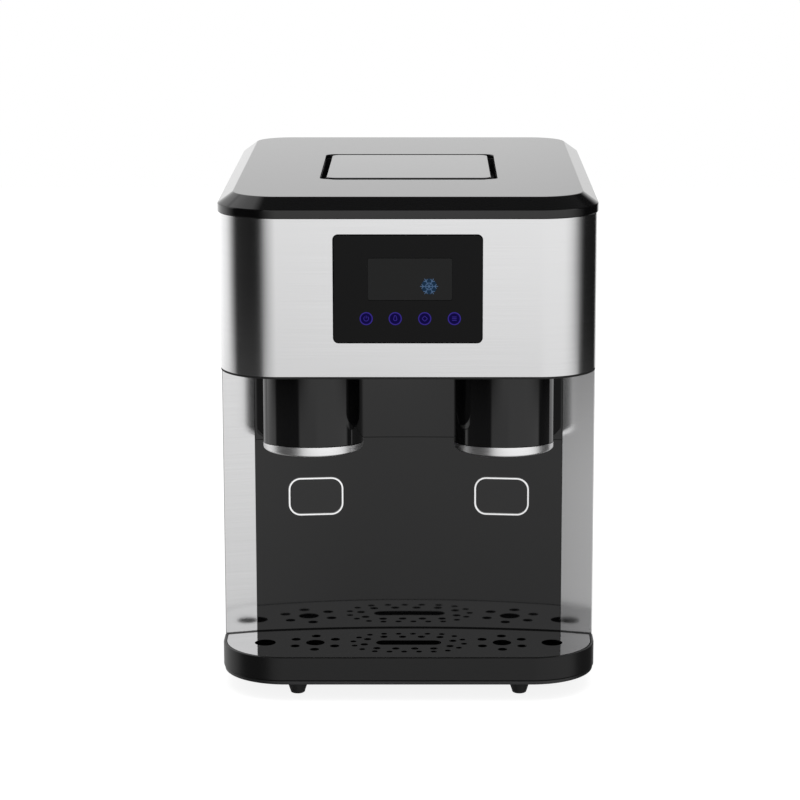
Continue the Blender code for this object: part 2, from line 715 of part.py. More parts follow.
def make_push_pads(housing):
    """Chrome outline, push pad and switch on each side of the bay."""
    for side, sign in (("left", -1), ("right", 1)):
        trim = prism(pad_outline(0), -PAD_TRIM_PROUD, PANEL_THICKNESS, facing)
        trim = add_piece(f"pad_trim_{side}", on_pad(trim, sign), CHROME, housing)
        inner = prism(pad_outline(PAD_TRIM), -OVERRUN, PANEL_THICKNESS + OVERRUN, facing)
        cut(trim, on_pad(inner, sign), housing)
        pad = prism(pad_outline(PAD_TRIM + GAP), 0, PAD_THICKNESS, facing)
        origin = pad_frame(sign).to_translation()
        pad = add_piece(f"push_pad_{side}", on_pad(pad, sign), BLACK_GLOSS, housing, origin)
        reach = PAD_THICKNESS + PAD_STEM
        stem = prism(circle((0, 0), PAD_STEM_RADIUS, SMALL_STEPS), PAD_THICKNESS - GAP, reach, facing)
        fuse(pad, on_pad(stem, sign), housing)
        near = PANEL_THICKNESS - GAP / 2
        front = reach + PAD_TRAVEL + GAP
        rear = front + SWITCH_BODY
        half = SWITCH_LENGTH / 2
        bridge = [(-half, near), (SWITCH_LEG - half, near), (SWITCH_LEG - half, front),
                  (half - SWITCH_LEG, front), (half - SWITCH_LEG, near), (half, near),
                  (half, rear), (-half, rear)]
        switch = prism(bridge, -SWITCH_HEIGHT / 2, SWITCH_HEIGHT / 2)
        add_piece(f"pad_switch_{side}", on_pad(switch, sign), BLACK_SATIN, housing)


def make_head(housing):
    """The steel wrap of the head, and the deck that closes it from below."""
    wrap = prism(wrap_path(0) + wrap_path(SHEET)[::-1], HEAD_LOW, HEAD_HIGH)
    wrap = add_piece("head_wrap", wrap, BRUSHED_STEEL, housing)
    window = rounded((0, FASCIA_LEVEL), FASCIA_WIDTH + 2 * GAP, FASCIA_HEIGHT + 2 * GAP,
                     FASCIA_RADIUS + GAP, 4)
    cut(wrap, prism(window, -OVERRUN, HEAD_SETBACK + SHEET + OVERRUN, facing), housing)
    cut(wrap, screw_holes((-1, 1), (SCREW_HIGH,)), housing)
    inset = SHEET + GAP
    floor = front_path(HEAD_WIDTH - 2 * inset, HEAD_SETBACK + inset, DECK_REAR, HEAD_RADIUS - inset)
    deck = add_piece("head_deck", prism(floor, DECK_LOW, DECK_HIGH), BLACK_SATIN, housing)
    low = DECK_LOW - OVERRUN
    high = DECK_HIGH + OVERRUN
    cut(deck, prism(circle((-SPOUT_PLACE, CHUTE_DEPTH), CHUTE_RADIUS + 2 * GAP), low, high), housing)
    cut(deck, prism(circle((SPOUT_PLACE, SPOUT_DEPTH), NOZZLE_RADIUS + 2 * GAP), low, high), housing)


def make_control_panel(housing):
    """Gloss fascia with its screen window, and the board behind it."""
    back = FASCIA_FRONT + FASCIA_THICKNESS
    outline = rounded((0, FASCIA_LEVEL), FASCIA_WIDTH, FASCIA_HEIGHT, FASCIA_RADIUS, 4)
    fascia = add_piece("control_fascia", prism(outline, FASCIA_FRONT, back, facing), BLACK_GLOSS, housing)
    middle = (SCREEN_SHIFT, SCREEN_LEVEL)
    pocket = rounded(middle, SCREEN_WIDTH + 2 * GAP, SCREEN_HEIGHT + 2 * GAP, SCREEN_RADIUS + GAP, 2)
    depth = FASCIA_FRONT + SCREEN_THICKNESS + GAP
    cut(fascia, prism(pocket, FASCIA_FRONT - OVERRUN, depth, facing), housing)
    lens = rounded(middle, SCREEN_WIDTH, SCREEN_HEIGHT, SCREEN_RADIUS, 2)
    lens = prism(lens, FASCIA_FRONT, FASCIA_FRONT + SCREEN_THICKNESS, facing)
    add_piece("display_lens", lens, SCREEN_BLACK, housing)
    half = FASCIA_WIDTH / 2 - BOARD_MARGIN
    rise = FASCIA_HEIGHT / 2 - BOARD_MARGIN
    outline = box_outline(-half, half, FASCIA_LEVEL - rise, FASCIA_LEVEL + rise)
    board = prism(outline, back + GAP, back + GAP + BOARD_THICKNESS, facing)
    add_piece("control_board", board, BOARD_GREEN, housing)


def make_cover(housing):
    """The bevelled top cover, its refill well and the lift out lid."""
    centre = (0, COVER_DEPTH / 2)
    outline = rounded(centre, COVER_WIDTH, COVER_DEPTH, COVER_RADIUS, HOUSING_STEPS, COVER_REAR_RADIUS)
    body = prism(outline, COVER_LOW, BAND_HIGH)
    slant(body, end_face(body, (0, 0, 1)), COVER_BEVEL_RUN, (0, 0, COVER_BEVEL_RISE))
    under = step(body, end_face(body, (0, 0, -1)), COVER_WALL, (0, 0, COVER_BAND - GAP))
    slant(body, under, COVER_BEVEL_RUN - GAP, (0, 0, COVER_BEVEL_RISE - COVER_WALL + GAP))
    cover = add_piece("top_cover", body, BLACK_GLOSS, housing)
    middle = (0, REFILL_FRONT + REFILL_DEPTH / 2)
    opening = rounded(middle, REFILL_WIDTH, REFILL_DEPTH, REFILL_RADIUS, 4)
    cut(cover, prism(opening, BAND_HIGH, COVER_HIGH + OVERRUN), housing)

    collar = rounded(middle, REFILL_WIDTH + 2 * WELL_WALL, REFILL_DEPTH + 2 * WELL_WALL,
                     REFILL_RADIUS + WELL_WALL, 4)
    well = prism(collar, WELL_LOW, WELL_HIGH)
    step(well, end_face(well, (0, 0, 1)), WELL_WALL, (0, 0, WELL_WALL - WELL_HEIGHT))
    well = add_piece("filler_well", well, BLACK_SATIN, housing)
    mouth = rounded(middle, REFILL_WIDTH - 2 * WELL_LEDGE, REFILL_DEPTH - 2 * WELL_LEDGE, WELL_LEDGE, 4)
    cut(well, prism(mouth, WELL_LOW - OVERRUN, WELL_LOW + WELL_WALL + OVERRUN), housing)

    outline = rounded(middle, REFILL_WIDTH - 2 * LID_SIDE_SLOT, REFILL_DEPTH - 2 * LID_END_GAP,
                      REFILL_RADIUS, 4)
    lid = prism(outline, LID_LOW, COVER_HIGH)
    rise = COVER_HIGH - LID_LOW - LID_TOP
    step(lid, end_face(lid, (0, 0, -1)), LID_SKIRT, (0, 0, rise))
    add_piece("refill_lid", lid, BLACK_GLOSS, housing, (*middle, LID_LOW))


def spout_outline(sign, outer, inner):
    """A round front wall whose two ends run straight back to the bay wall."""
    place_x = sign * SPOUT_PLACE
    centre = (place_x, SPOUT_DEPTH)
    front = arc(centre, outer, 180, 360, SPOUT_STEPS)
    back = arc(centre, inner, 360, 180, SPOUT_STEPS)
    ends = [place_x + reach for reach in (-outer, outer, inner, -inner)]
    seat = [(end, wall_depth(end) - GAP) for end in ends]
    return [seat[0]] + front + seat[1:3] + back + [seat[3]]


def ring_top(along, across):
    """Height of the sloped joint between a spout shell and its ring."""
    return RING_LOW + RING_SIDE_HEIGHT + RING_SLOPE * (SPOUT_DEPTH - across)


def shell_foot(along, across):
    """Height of the lower edge of a spout shell."""
    return ring_top(along, across) + GAP


def make_spouts(housing):
    """Gloss spout shells with metal rings at their mouths."""
    for side, sign in (("left", -1), ("right", 1)):
        outline = spout_outline(sign, SPOUT_RADIUS, SPOUT_RADIUS - SPOUT_WALL)
        shell = prism(outline, shell_foot, DECK_LOW - GAP)
        add_piece(f"spout_shell_{side}", shell, BLACK_GLOSS, housing)
        outline = spout_outline(sign, SPOUT_RADIUS, SPOUT_RADIUS - RING_WALL)
        ring = prism(outline, RING_LOW, ring_top)
        add_piece(f"spout_ring_{side}", ring, CHROME, housing)


def tray_outline(inset):
    """Outline of the drip tray, whose rear edge follows the bay wall."""
    half = TRAY_WIDTH / 2 - inset
    radius = TRAY_RADIUS - inset
    path = front_path(TRAY_WIDTH - 2 * inset, TRAY_FRONT + inset, 0, radius)[1:-1]
    rear = [(x, wall_depth(x) - GAP - inset) for x in spread(half, -half, BAY_STEPS + 1)]
    return path + rear


def race_track(radius, straight, count):
    """Evenly spaced places round a slot, on two straights and two half rounds."""
    half = straight / 2
    bend = math.pi * radius
    total = 2 * straight + 2 * bend
    places = []
    for index in range(count):
        run = total * index / count
        flip = 1 if run < total / 2 else -1
        run = run if flip > 0 else run - total / 2
        if run < bend:
            angle = run / radius - math.pi / 2
            spot = (half + radius * math.cos(angle), radius * math.sin(angle))
        else:
            spot = (half - (run - bend), radius)
        places.append((flip * spot[0], flip * spot[1]))
    return places


def side_holes(sign):
    """Outlines of the end hole and the round group of the drip plate on one side."""
    middle = (sign * SPOUT_PLACE, PATTERN_DEPTH)
    holes = [circle((sign * END_HOLE_PLACE, PATTERN_DEPTH), END_HOLE_RADIUS, SMALL_STEPS)]
    holes.append(circle(middle, GROUP_HOLE_RADIUS, SMALL_STEPS))
    for spot in arc(middle, GROUP_RING_RADIUS, 90, 450, GROUP_COUNT)[:-1]:
        holes.append(circle(spot, GROUP_SMALL_RADIUS, 8))
    return holes


def slot_holes():
    """Outlines of the middle slot of the drip plate and of the two rings of holes round it."""
    end = SLOT_WIDTH / 2
    half = SLOT_LENGTH / 2 - end
    right = arc((half, PATTERN_DEPTH), end, -90, 90, 10)
    holes = [right + arc((-half, PATTERN_DEPTH), end, 90, 270, 10)]
    for radius, count, hole in SLOT_RINGS:
        for along, across in race_track(radius, SLOT_RING_STRAIGHT, count):
            holes.append(circle((along, PATTERN_DEPTH + across), hole, 6))
    return holes


def make_tray(housing):
    """The drip tray and the steel plate that lies in its rebate."""
    body = prism(tray_outline(0), BODY_LOW, TRAY_HIGH)
    rebate = step(body, end_face(body, (0, 0, 1)), TRAY_RIM - GAP, (0, 0, -PLATE_THICKNESS - GAP))
    fall = TRAY_HEIGHT - PLATE_THICKNESS - GAP - TRAY_FLOOR
    step(body, rebate, TRAY_LEDGE, (0, 0, -fall))
    add_piece("drip_tray", body, BLACK_GLOSS, housing, (0, TRAY_FRONT, BODY_LOW))
    plate = prism(tray_outline(TRAY_RIM), TRAY_HIGH - PLATE_THICKNESS, TRAY_HIGH)
    origin = (0, PATTERN_DEPTH, TRAY_HIGH)
    grate = add_piece("drip_grate", plate, POLISHED_STEEL, housing, origin)
    for holes in (side_holes(-1), side_holes(1), slot_holes()):
        tool = bmesh.new()
        for hole in holes:
            prism(hole, TRAY_HIGH - PLATE_THICKNESS - OVERRUN, TRAY_HIGH + OVERRUN, upright, tool)
        cut(grate, tool, housing)


def make_water_side(housing):
    """Water tank, pump, spout nozzle and the hose between them."""
    size = (TANK_RIGHT - TANK_LEFT, TANK_REAR - TANK_FRONT)
    middle = ((TANK_LEFT + TANK_RIGHT) / 2, (TANK_FRONT + TANK_REAR) / 2)
    tank = prism(rounded(middle, *size, TANK_RADIUS, 3), SHELF_LEVEL, SHELF_LEVEL + TANK_HEIGHT)
    step(tank, end_face(tank, (0, 0, 1)), TANK_WALL, (0, 0, TANK_WALL - TANK_HEIGHT))
    add_piece("water_tank", tank, CLEAR_GREY, housing)

    level = SHELF_LEVEL + PUMP_FOOT + PUMP_RADIUS
    can = rod(PUMP_RADIUS, PUMP_LEFT, PUMP_RIGHT, 16, (0, PUMP_DEPTH, level), (1, 0, 0))
    pump = add_piece("water_pump", can, BLACK_SATIN, housing)
    sole = box_outline(PUMP_LEFT + PUMP_SOLE_MARGIN, PUMP_RIGHT - PUMP_SOLE_MARGIN,
                       PUMP_DEPTH - PUMP_RADIUS / 2, PUMP_DEPTH + PUMP_RADIUS / 2)
    fuse(pump, prism(sole, SHELF_LEVEL, level), housing)
    stub_top = level + PUMP_RADIUS + PUMP_STUB
    stub = rod(PUMP_STUB_RADIUS, level, stub_top, SMALL_STEPS, (PUMP_STUB_PLACE, PUMP_DEPTH, 0))
    fuse(pump, stub, housing)

    flange = SHELF_LEVEL + NOZZLE_FLANGE_HEIGHT
    top = flange + NOZZLE_STUB
    low = DECK_LOW - NOZZLE_DROP
    profile = [(NOZZLE_BORE, low), (NOZZLE_RADIUS, low), (NOZZLE_RADIUS, SHELF_LEVEL),
               (NOZZLE_FLANGE, SHELF_LEVEL), (NOZZLE_FLANGE, flange), (NOZZLE_RADIUS, flange),
               (NOZZLE_RADIUS, top), (NOZZLE_BORE, top)]
    nozzle = lathe(profile, SMALL_STEPS, (SPOUT_PLACE, SPOUT_DEPTH, 0))
    add_piece("water_nozzle", nozzle, WHITE_PLASTIC, housing)

    crown = top + HOSE_ARCH
    start = (SPOUT_PLACE, SPOUT_DEPTH)
    finish = (PUMP_STUB_PLACE, PUMP_DEPTH)
    quarter = [near + (far - near) / 4 for near, far in zip(start, finish)]
    three = [far - (far - near) / 4 for near, far in zip(start, finish)]
    shoulder = crown - HOSE_RADIUS
    route = [(*start, top + GAP), (*start, top + 3 * HOSE_RADIUS), (*quarter, shoulder), (*three, shoulder),
             (*finish, stub_top + 2 * HOSE_RADIUS), (*finish, stub_top + GAP)]
    add_hose("water_hose", route, HOSE_RADIUS, CLEAR_GREY, housing)


def make_ice_side(housing):
    """Ice bin, chute, flap with its pin, and the solenoid that drives it."""
    outline = [(BIN_LEFT, BIN_FRONT), (BIN_RIGHT, BIN_FRONT), (BIN_RIGHT, BIN_STEP),
               (BIN_STRIP_RIGHT, BIN_STEP), (BIN_STRIP_RIGHT, BIN_REAR), (BIN_LEFT, BIN_REAR)]
    body = prism(outline, SHELF_LEVEL, SHELF_LEVEL + TANK_HEIGHT)
    step(body, end_face(body, (0, 0, 1)), BIN_WALL, (0, 0, BIN_WALL - TANK_HEIGHT))
    ice_bin = add_piece("ice_bin", body, WHITE_PLASTIC, housing)
    centre = (-SPOUT_PLACE, CHUTE_DEPTH)
    bore = CHUTE_RADIUS - CHUTE_WALL
    hole = prism(circle(centre, bore), SHELF_LEVEL - OVERRUN, SHELF_LEVEL + BIN_WALL + OVERRUN)
    cut(ice_bin, hole, housing)
    low = BARREL_HIGH + GAP + DUCT_RISE + OUTLET_WALL
    reach = DUCT_WIDTH / 2 - OUTLET_WALL
    high = low + DUCT_HEIGHT - 2 * OUTLET_WALL
    inlet = box_outline(BARREL_PLACE - reach, BARREL_PLACE + reach, low, high)
    cut(ice_bin, prism(inlet, BIN_REAR - BIN_WALL - OVERRUN, BIN_REAR + OVERRUN, facing), housing)

    under = DECK_LOW - GAP - CHUTE_FLANGE_HEIGHT
    profile = [(bore, CHUTE_LOW), (CHUTE_RADIUS, CHUTE_LOW), (CHUTE_RADIUS, under), (CHUTE_FLANGE, under),
               (CHUTE_FLANGE, DECK_LOW - GAP), (CHUTE_RADIUS, DECK_LOW - GAP), (CHUTE_RADIUS, DECK_HIGH),
               (bore, DECK_HIGH)]
    chute = add_piece("ice_chute", lathe(profile, ROUND_STEPS, (*centre, 0)), WHITE_PLASTIC, housing)
    near = CHUTE_DEPTH + LUG_ROOT
    far = FLAP_AXIS_DEPTH + LUG_REACH
    lug_low = FLAP_AXIS_LEVEL - LUG_REACH
    for sign in (-1, 1):
        middle = -SPOUT_PLACE + sign * LUG_SPREAD / 2
        lug = box_outline(middle - LUG_WIDTH / 2, middle + LUG_WIDTH / 2, near, far)
        fuse(chute, prism(lug, lug_low, lug_low + LUG_HEIGHT), housing)
    axis = (-SPOUT_PLACE, FLAP_AXIS_DEPTH, FLAP_AXIS_LEVEL)
    across = (1, 0, 0)
    reach = LUG_SPREAD / 2 + LUG_WIDTH
    cut(chute, rod(PIN_BORE, -reach - OVERRUN, reach + OVERRUN, SMALL_STEPS, axis, across), housing)
    pin = rod(PIN_RADIUS, -reach, reach, SMALL_STEPS, axis, across)
    add_piece("flap_pin", pin, CHROME, housing)

    top = CHUTE_LOW - FLAP_CLEARANCE
    disc = prism(circle(centre, FLAP_RADIUS), top - FLAP_THICKNESS, top)
    flap = add_piece("chute_flap", disc, WHITE_PLASTIC, housing, axis)
    half = FLAP_BARREL_LENGTH / 2
    tab = box_outline(-SPOUT_PLACE - half, -SPOUT_PLACE + half, near - OVERRUN, FLAP_AXIS_DEPTH)
    fuse(flap, prism(tab, top - FLAP_THICKNESS - GAP, top - GAP), housing)
    fuse(flap, rod(FLAP_BARREL_RADIUS, -half, half, SMALL_STEPS, axis, across), housing)
    cut(flap, rod(PIN_BORE, -half - OVERRUN, half + OVERRUN, SMALL_STEPS, axis, across), housing)

    front = wall_depth(SPOUT_PLACE - SOLENOID_WIDTH / 2, PANEL_THICKNESS) + GAP
    top = BODY_HIGH - SOLENOID_DROP
    half = SOLENOID_WIDTH / 2
    outline = box_outline(-SPOUT_PLACE - half, -SPOUT_PLACE + half, front, front + SOLENOID_LENGTH)
    add_piece("flap_solenoid", prism(outline, top - SOLENOID_HEIGHT, top), ALUMINIUM, housing)


def auger_ring(turn):
    """One cross section of the auger: a round shaft with one land of the flight."""
    land = math.tau * AUGER_LAND_SHARE
    spots = [(AUGER_FLIGHT, land * share) for share in AUGER_LAND_SPOT_SHARES]
    spots += [(AUGER_SHAFT, land + (math.tau - land) * share) for share in AUGER_SHAFT_SPOT_SHARES]
    return [(radius * math.cos(turn + angle), radius * math.sin(turn + angle)) for radius, angle in spots]


def make_auger(housing):
    """The helical auger, one land of its flight carried up in small turns."""
    centre = Vector((BARREL_PLACE, BARREL_DEPTH, MOTOR_HIGH + MOTOR_STUB + GAP))
    body = bmesh.new()
    rise = Vector((0, 0, AUGER_PITCH / AUGER_TURN_STEPS))
    turn = Matrix.Rotation(math.tau / AUGER_TURN_STEPS, 3, "Z")
    face = body.faces.new([body.verts.new((along, across, 0)) for along, across in auger_ring(0)])
    face = bmesh.ops.extrude_face_region(body, geom=[face])["geom"]
    face = next(part for part in face if isinstance(part, bmesh.types.BMFace))
    for index in range(round(AUGER_TURNS * AUGER_TURN_STEPS)):
        if index:
            face = step(body, face, 0, (0, 0, 0))
        bmesh.ops.rotate(body, cent=(0, 0, 0), matrix=turn, verts=face.verts)
        bmesh.ops.translate(body, vec=rise, verts=face.verts)
    bmesh.ops.translate(body, vec=centre, verts=body.verts)
    add_piece("auger", body, BRUSHED_STEEL, housing, centre)


def make_ice_unit(housing):
    """Gear motor, freezing barrel, auger and the outlet that feeds the bin."""
    half = MOTOR_SIDE / 2
    outline = rounded((BARREL_PLACE, BARREL_DEPTH), MOTOR_SIDE, MOTOR_SIDE, MOTOR_CORNER, 2)
    motor = add_piece("auger_motor", prism(outline, BODY_LOW, MOTOR_HIGH), ALUMINIUM, housing)
    centre = (BARREL_PLACE, BARREL_DEPTH, 0)
    stub = rod(AUGER_SHAFT, MOTOR_HIGH - OVERRUN, MOTOR_HIGH + MOTOR_STUB, SMALL_STEPS, centre)
    fuse(motor, stub, housing)
    start = BARREL_PLACE + half
    level = BODY_LOW + MOTOR_HEIGHT / 2
    stop = FAN_PLACE - FAN_SIDE / 2 - MOTOR_CAN_GAP
    can = rod(MOTOR_CAN_RADIUS, start - OVERRUN, stop, 16, (0, BARREL_DEPTH, level), (1, 0, 0))
    fuse(motor, can, housing)

    profile = [(BARREL_BORE, BARREL_LOW), (BARREL_RADIUS, BARREL_LOW), (BARREL_RADIUS, BARREL_HIGH),
               (BARREL_BORE, BARREL_HIGH)]
    add_piece("freezing_barrel", lathe(profile, ROUND_STEPS, centre), BRUSHED_STEEL, housing)
    make_auger(housing)

    low = BARREL_HIGH + GAP
    high = low + OUTLET_HEIGHT
    outlet = rod(BARREL_RADIUS, low, high, ROUND_STEPS, centre)
    outlet = add_piece("ice_outlet", outlet, WHITE_PLASTIC, housing)
    half = DUCT_WIDTH / 2
    base = low + DUCT_RISE
    duct = box_outline(BARREL_PLACE - half, BARREL_PLACE + half, base, base + DUCT_HEIGHT)
    fuse(outlet, prism(duct, BIN_REAR + GAP, BARREL_DEPTH, facing), housing)
    cut(outlet, rod(BARREL_BORE, low - OVERRUN, high - OUTLET_WALL, ROUND_STEPS, centre), housing)
    duct = box_outline(BARREL_PLACE - half + OUTLET_WALL, BARREL_PLACE + half - OUTLET_WALL,
                       base + OUTLET_WALL, base + DUCT_HEIGHT - OUTLET_WALL)
    cut(outlet, prism(duct, BIN_REAR - OVERRUN, BARREL_DEPTH, facing), housing)


def make_compressor(housing):
    """The sealed compressor on its foot plate."""
    foot = BODY_LOW + COMPRESSOR_FLANGE_HEIGHT
    top = BODY_LOW + COMPRESSOR_HEIGHT
    shoulder = top - COMPRESSOR_SHOULDER
    rim = COMPRESSOR_RADIUS - COMPRESSOR_FLAT
    profile = [(0, BODY_LOW), (COMPRESSOR_FLANGE, BODY_LOW), (COMPRESSOR_FLANGE, foot),
               (COMPRESSOR_RADIUS, foot)]
    profile += [(COMPRESSOR_FLAT + rim * math.cos(turn), shoulder + COMPRESSOR_SHOULDER * math.sin(turn))
                for turn in spread(0, math.pi / 2, 5)]
    profile.append((0, top))
    body = lathe(profile, ROUND_STEPS, (COMPRESSOR_PLACE, COMPRESSOR_DEPTH, 0))
    add_piece("compressor", body, PAINTED_BLACK, housing)
    return top


def make_condenser(housing):
    """Finned condenser in front of the fan."""
    left = FAN_PLACE - FAN_SIDE / 2
    front = FAN_FRONT - GAP - CONDENSER_DEPTH
    spine = front + CONDENSER_SPINE
    rear = front + CONDENSER_DEPTH
    outline = [(left, front), (left + FAN_SIDE, front)]
    for place_x in spread(left + FAN_SIDE, left + FIN_THICKNESS, CONDENSER_FINS):
        outline += [(place_x, spine), (place_x, rear), (place_x - FIN_THICKNESS, rear),
                    (place_x - FIN_THICKNESS, spine)]
    outline = [spot for spot in outline if spot not in ((left + FAN_SIDE, spine), (left, spine))]
    add_piece("condenser", prism(outline, BODY_LOW, BODY_LOW + FAN_SIDE), ALUMINIUM, housing)
    return front + CONDENSER_SPINE / 2


def make_fan(housing):
    """Square fan frame with struts and hub, and the bladed rotor in its bore."""
    middle = (FAN_PLACE, FAN_LEVEL)
    outline = rounded(middle, FAN_SIDE, FAN_SIDE, FAN_CORNER, 2)
    frame = add_piece("fan_frame", prism(outline, FAN_FRONT, FAN_REAR, facing), BLACK_SATIN, housing)
    plate = FAN_REAR - FAN_STRUT_PLATE
    cut(frame, prism(circle(middle, FAN_BORE), FAN_FRONT - OVERRUN, plate, facing), housing)
    sectors = bmesh.new()
    span = 360 / FAN_STRUTS
    for index in range(FAN_STRUTS):
        inner = math.degrees(FAN_STRUT / 2 / FAN_HUB)
        outer = math.degrees(FAN_STRUT / 2 / FAN_BORE)
        start = span * index
        sector = arc(middle, FAN_BORE, start + outer, start + span - outer, 5)
        sector += arc(middle, FAN_HUB, start + span - inner, start + inner, 3)
        prism(sector, plate - GAP, FAN_REAR + OVERRUN, facing, sectors)
    cut(frame, sectors, housing)
    make_rotor(housing, plate - GAP)


def make_rotor(housing, rear):
    """Rotor hub whose pitched blades grow out of every third side face."""
    sides = 3 * FAN_BLADES
    front = rear - FAN_HUB_LENGTH
    middle = (front + rear) / 2
    facet = math.tau * FAN_HUB / sides
    body = prism(circle((0, 0), FAN_HUB, sides), front, rear, facing)
    roots = [face for face in body.faces if abs(face.normal.y) < math.cos(SHARP_ANGLE)]
    roots.sort(key=lambda face: math.atan2(face.calc_center_median().z, face.calc_center_median().x))
    for root in roots[::3]:
        outward = root.calc_center_median()
        outward.y = 0
        outward.normalize()
        tangent = outward.cross(Vector((0, 1, 0)))
        face = root
        lean = 0
        for reach, chord in ((FAN_HUB * BLADE_ROOT_SHARE, facet), (FAN_TIP, facet * BLADE_TIP_CHORD_SHARE)):
            face = step(body, face, 0, (0, 0, 0))
            for vert in face.verts:
                lift = math.copysign(1, vert.co.y - middle)
                turn = math.copysign(1, vert.co.dot(tangent) - lift * lean)
                along = lift * chord + turn * BLADE_THICKNESS / 2
                height = lift * FAN_HUB_LENGTH / 2 * BLADE_HEIGHT_SHARE
                vert.co = outward * reach + tangent * along + Vector((0, middle + height, 0))
            lean = chord
    origin = (FAN_PLACE, rear, FAN_LEVEL)
    bmesh.ops.translate(body, vec=(FAN_PLACE, 0, FAN_LEVEL), verts=body.verts)
    add_piece("fan_rotor", body, BLACK_SATIN, housing, origin)


def make_pipes(housing, compressor_top, condenser_depth):
    """Copper pipes from the compressor to the condenser and to the freezing barrel."""
    lift = compressor_top + PIPE_LIFT
    start = (COMPRESSOR_PLACE + COMPRESSOR_FLAT / 2, COMPRESSOR_DEPTH - COMPRESSOR_FLAT / 2)
    finish = (FAN_PLACE - FAN_SIDE / 4, condenser_depth)
    low = BODY_LOW + FAN_SIDE
    first, between, last = ([near + (far - near) * share for near, far in zip(start, finish)]
                            for share in PIPE_SPAN_SHARES)
    route = [(*start, compressor_top + GAP), (*start, compressor_top + PIPE_LIFT / 2), (*first, lift),
             (*between, lift), (*last, lift - PIPE_LIFT / 4), (*finish, low + PIPE_LIFT),
             (*finish, low + GAP)]
    add_hose("discharge_pipe", route, PIPE_RADIUS, COPPER, housing)

    start = (COMPRESSOR_PLACE - COMPRESSOR_FLAT / 2, COMPRESSOR_DEPTH + COMPRESSOR_FLAT / 2)
    edge = BARREL_PLACE + BARREL_RADIUS + GAP
    level = BARREL_HIGH - PIPE_LIFT
    out = edge + PIPE_LIFT
    rise = (level - lift) / 2
    route = [(*start, compressor_top + GAP), (*start, compressor_top + PIPE_LIFT / 2),
             (start[0] + PIPE_LIFT / 4, start[1] + PIPE_LIFT, lift),
             (out, BARREL_DEPTH - PIPE_LIFT, level - rise), (out - PIPE_LIFT / 4, BARREL_DEPTH, level),
             (edge + PIPE_LIFT / 4, BARREL_DEPTH, level), (edge, BARREL_DEPTH, level)]
    add_hose("suction_pipe", route, PIPE_RADIUS, COPPER, housing)


def make_power_box(housing):
    """The mains electronics box on the right side panel."""
    right = BODY_WIDTH / 2 - SHEET - GAP
    rear = BOARD_BOX_FRONT + BOARD_BOX_DEPTH
    outline = box_outline(right - BOARD_BOX_WIDTH, right, BOARD_BOX_FRONT, rear)
    body = prism(outline, BOARD_BOX_LOW, BOARD_BOX_LOW + BOARD_BOX_HEIGHT)
    add_piece("power_box", body, BLACK_SATIN, housing)


def make_rear_panel(housing):
    """Louvred rear panel, with its screws."""
    outline = box_outline(-REAR_HALF, REAR_HALF, BODY_LOW, HEAD_HIGH)
    panel = prism(outline, REAR_PANEL_FRONT, REAR_PANEL_REAR, facing)
    panel = add_piece("rear_panel", panel, PAINTED_BLACK, housing)
    tool = bmesh.new()
    start = REAR_PANEL_FRONT - OVERRUN
    stop = REAR_PANEL_REAR + OVERRUN
    groups = ((LOUVRE_PLACE, FAN_LEVEL, LOUVRE_FAN_COUNT),
              (-LOUVRE_PLACE, LOUVRE_HIGH_LEVEL, LOUVRE_HIGH_COUNT))
    for place_x, level, count in groups:
        for index in range(count):
            height = level + LOUVRE_PITCH * (index - (count - 1) / 2)
            slot = box_outline(place_x - LOUVRE_WIDTH / 2, place_x + LOUVRE_WIDTH / 2,
                               height - LOUVRE_HEIGHT / 2, height + LOUVRE_HEIGHT / 2)
            prism(slot, start, stop, facing, tool)
    hole = [size + 2 * GAP for size in INLET_BODY]
    prism(rounded((INLET_PLACE, INLET_LEVEL), *hole, INLET_RADIUS + GAP, 2), start, stop, facing, tool)
    prism(circle((DRAIN_PLACE, DRAIN_LEVEL), DRAIN_RADIUS + GAP), start, stop, facing, tool)
    cut(panel, tool, housing)
    cut(panel, screw_holes((-1, 1), (SCREW_LOW, SCREW_HIGH)), housing)
    places = [(side * SCREW_PLACE, level) for side in (-1, 1) for level in (SCREW_LOW, SCREW_HIGH)]
    seat = REAR_PANEL_REAR + GAP
    profile = [(0, -SCREW_LENGTH), (SCREW_SHANK, -SCREW_LENGTH), (SCREW_SHANK, 0), (SCREW_HEAD, 0),
               (SCREW_HEAD * SCREW_CROWN_SHARE, SCREW_HEAD_HEIGHT), (0, SCREW_HEAD_HEIGHT)]
    for name, spot in zip(("low_left", "top_left", "low_right", "top_right"), places):
        screw = lathe(profile, 8, (spot[0], seat, spot[1]), (0, 1, 0))
        add_piece(f"rear_screw_{name}", screw, CHROME, housing)


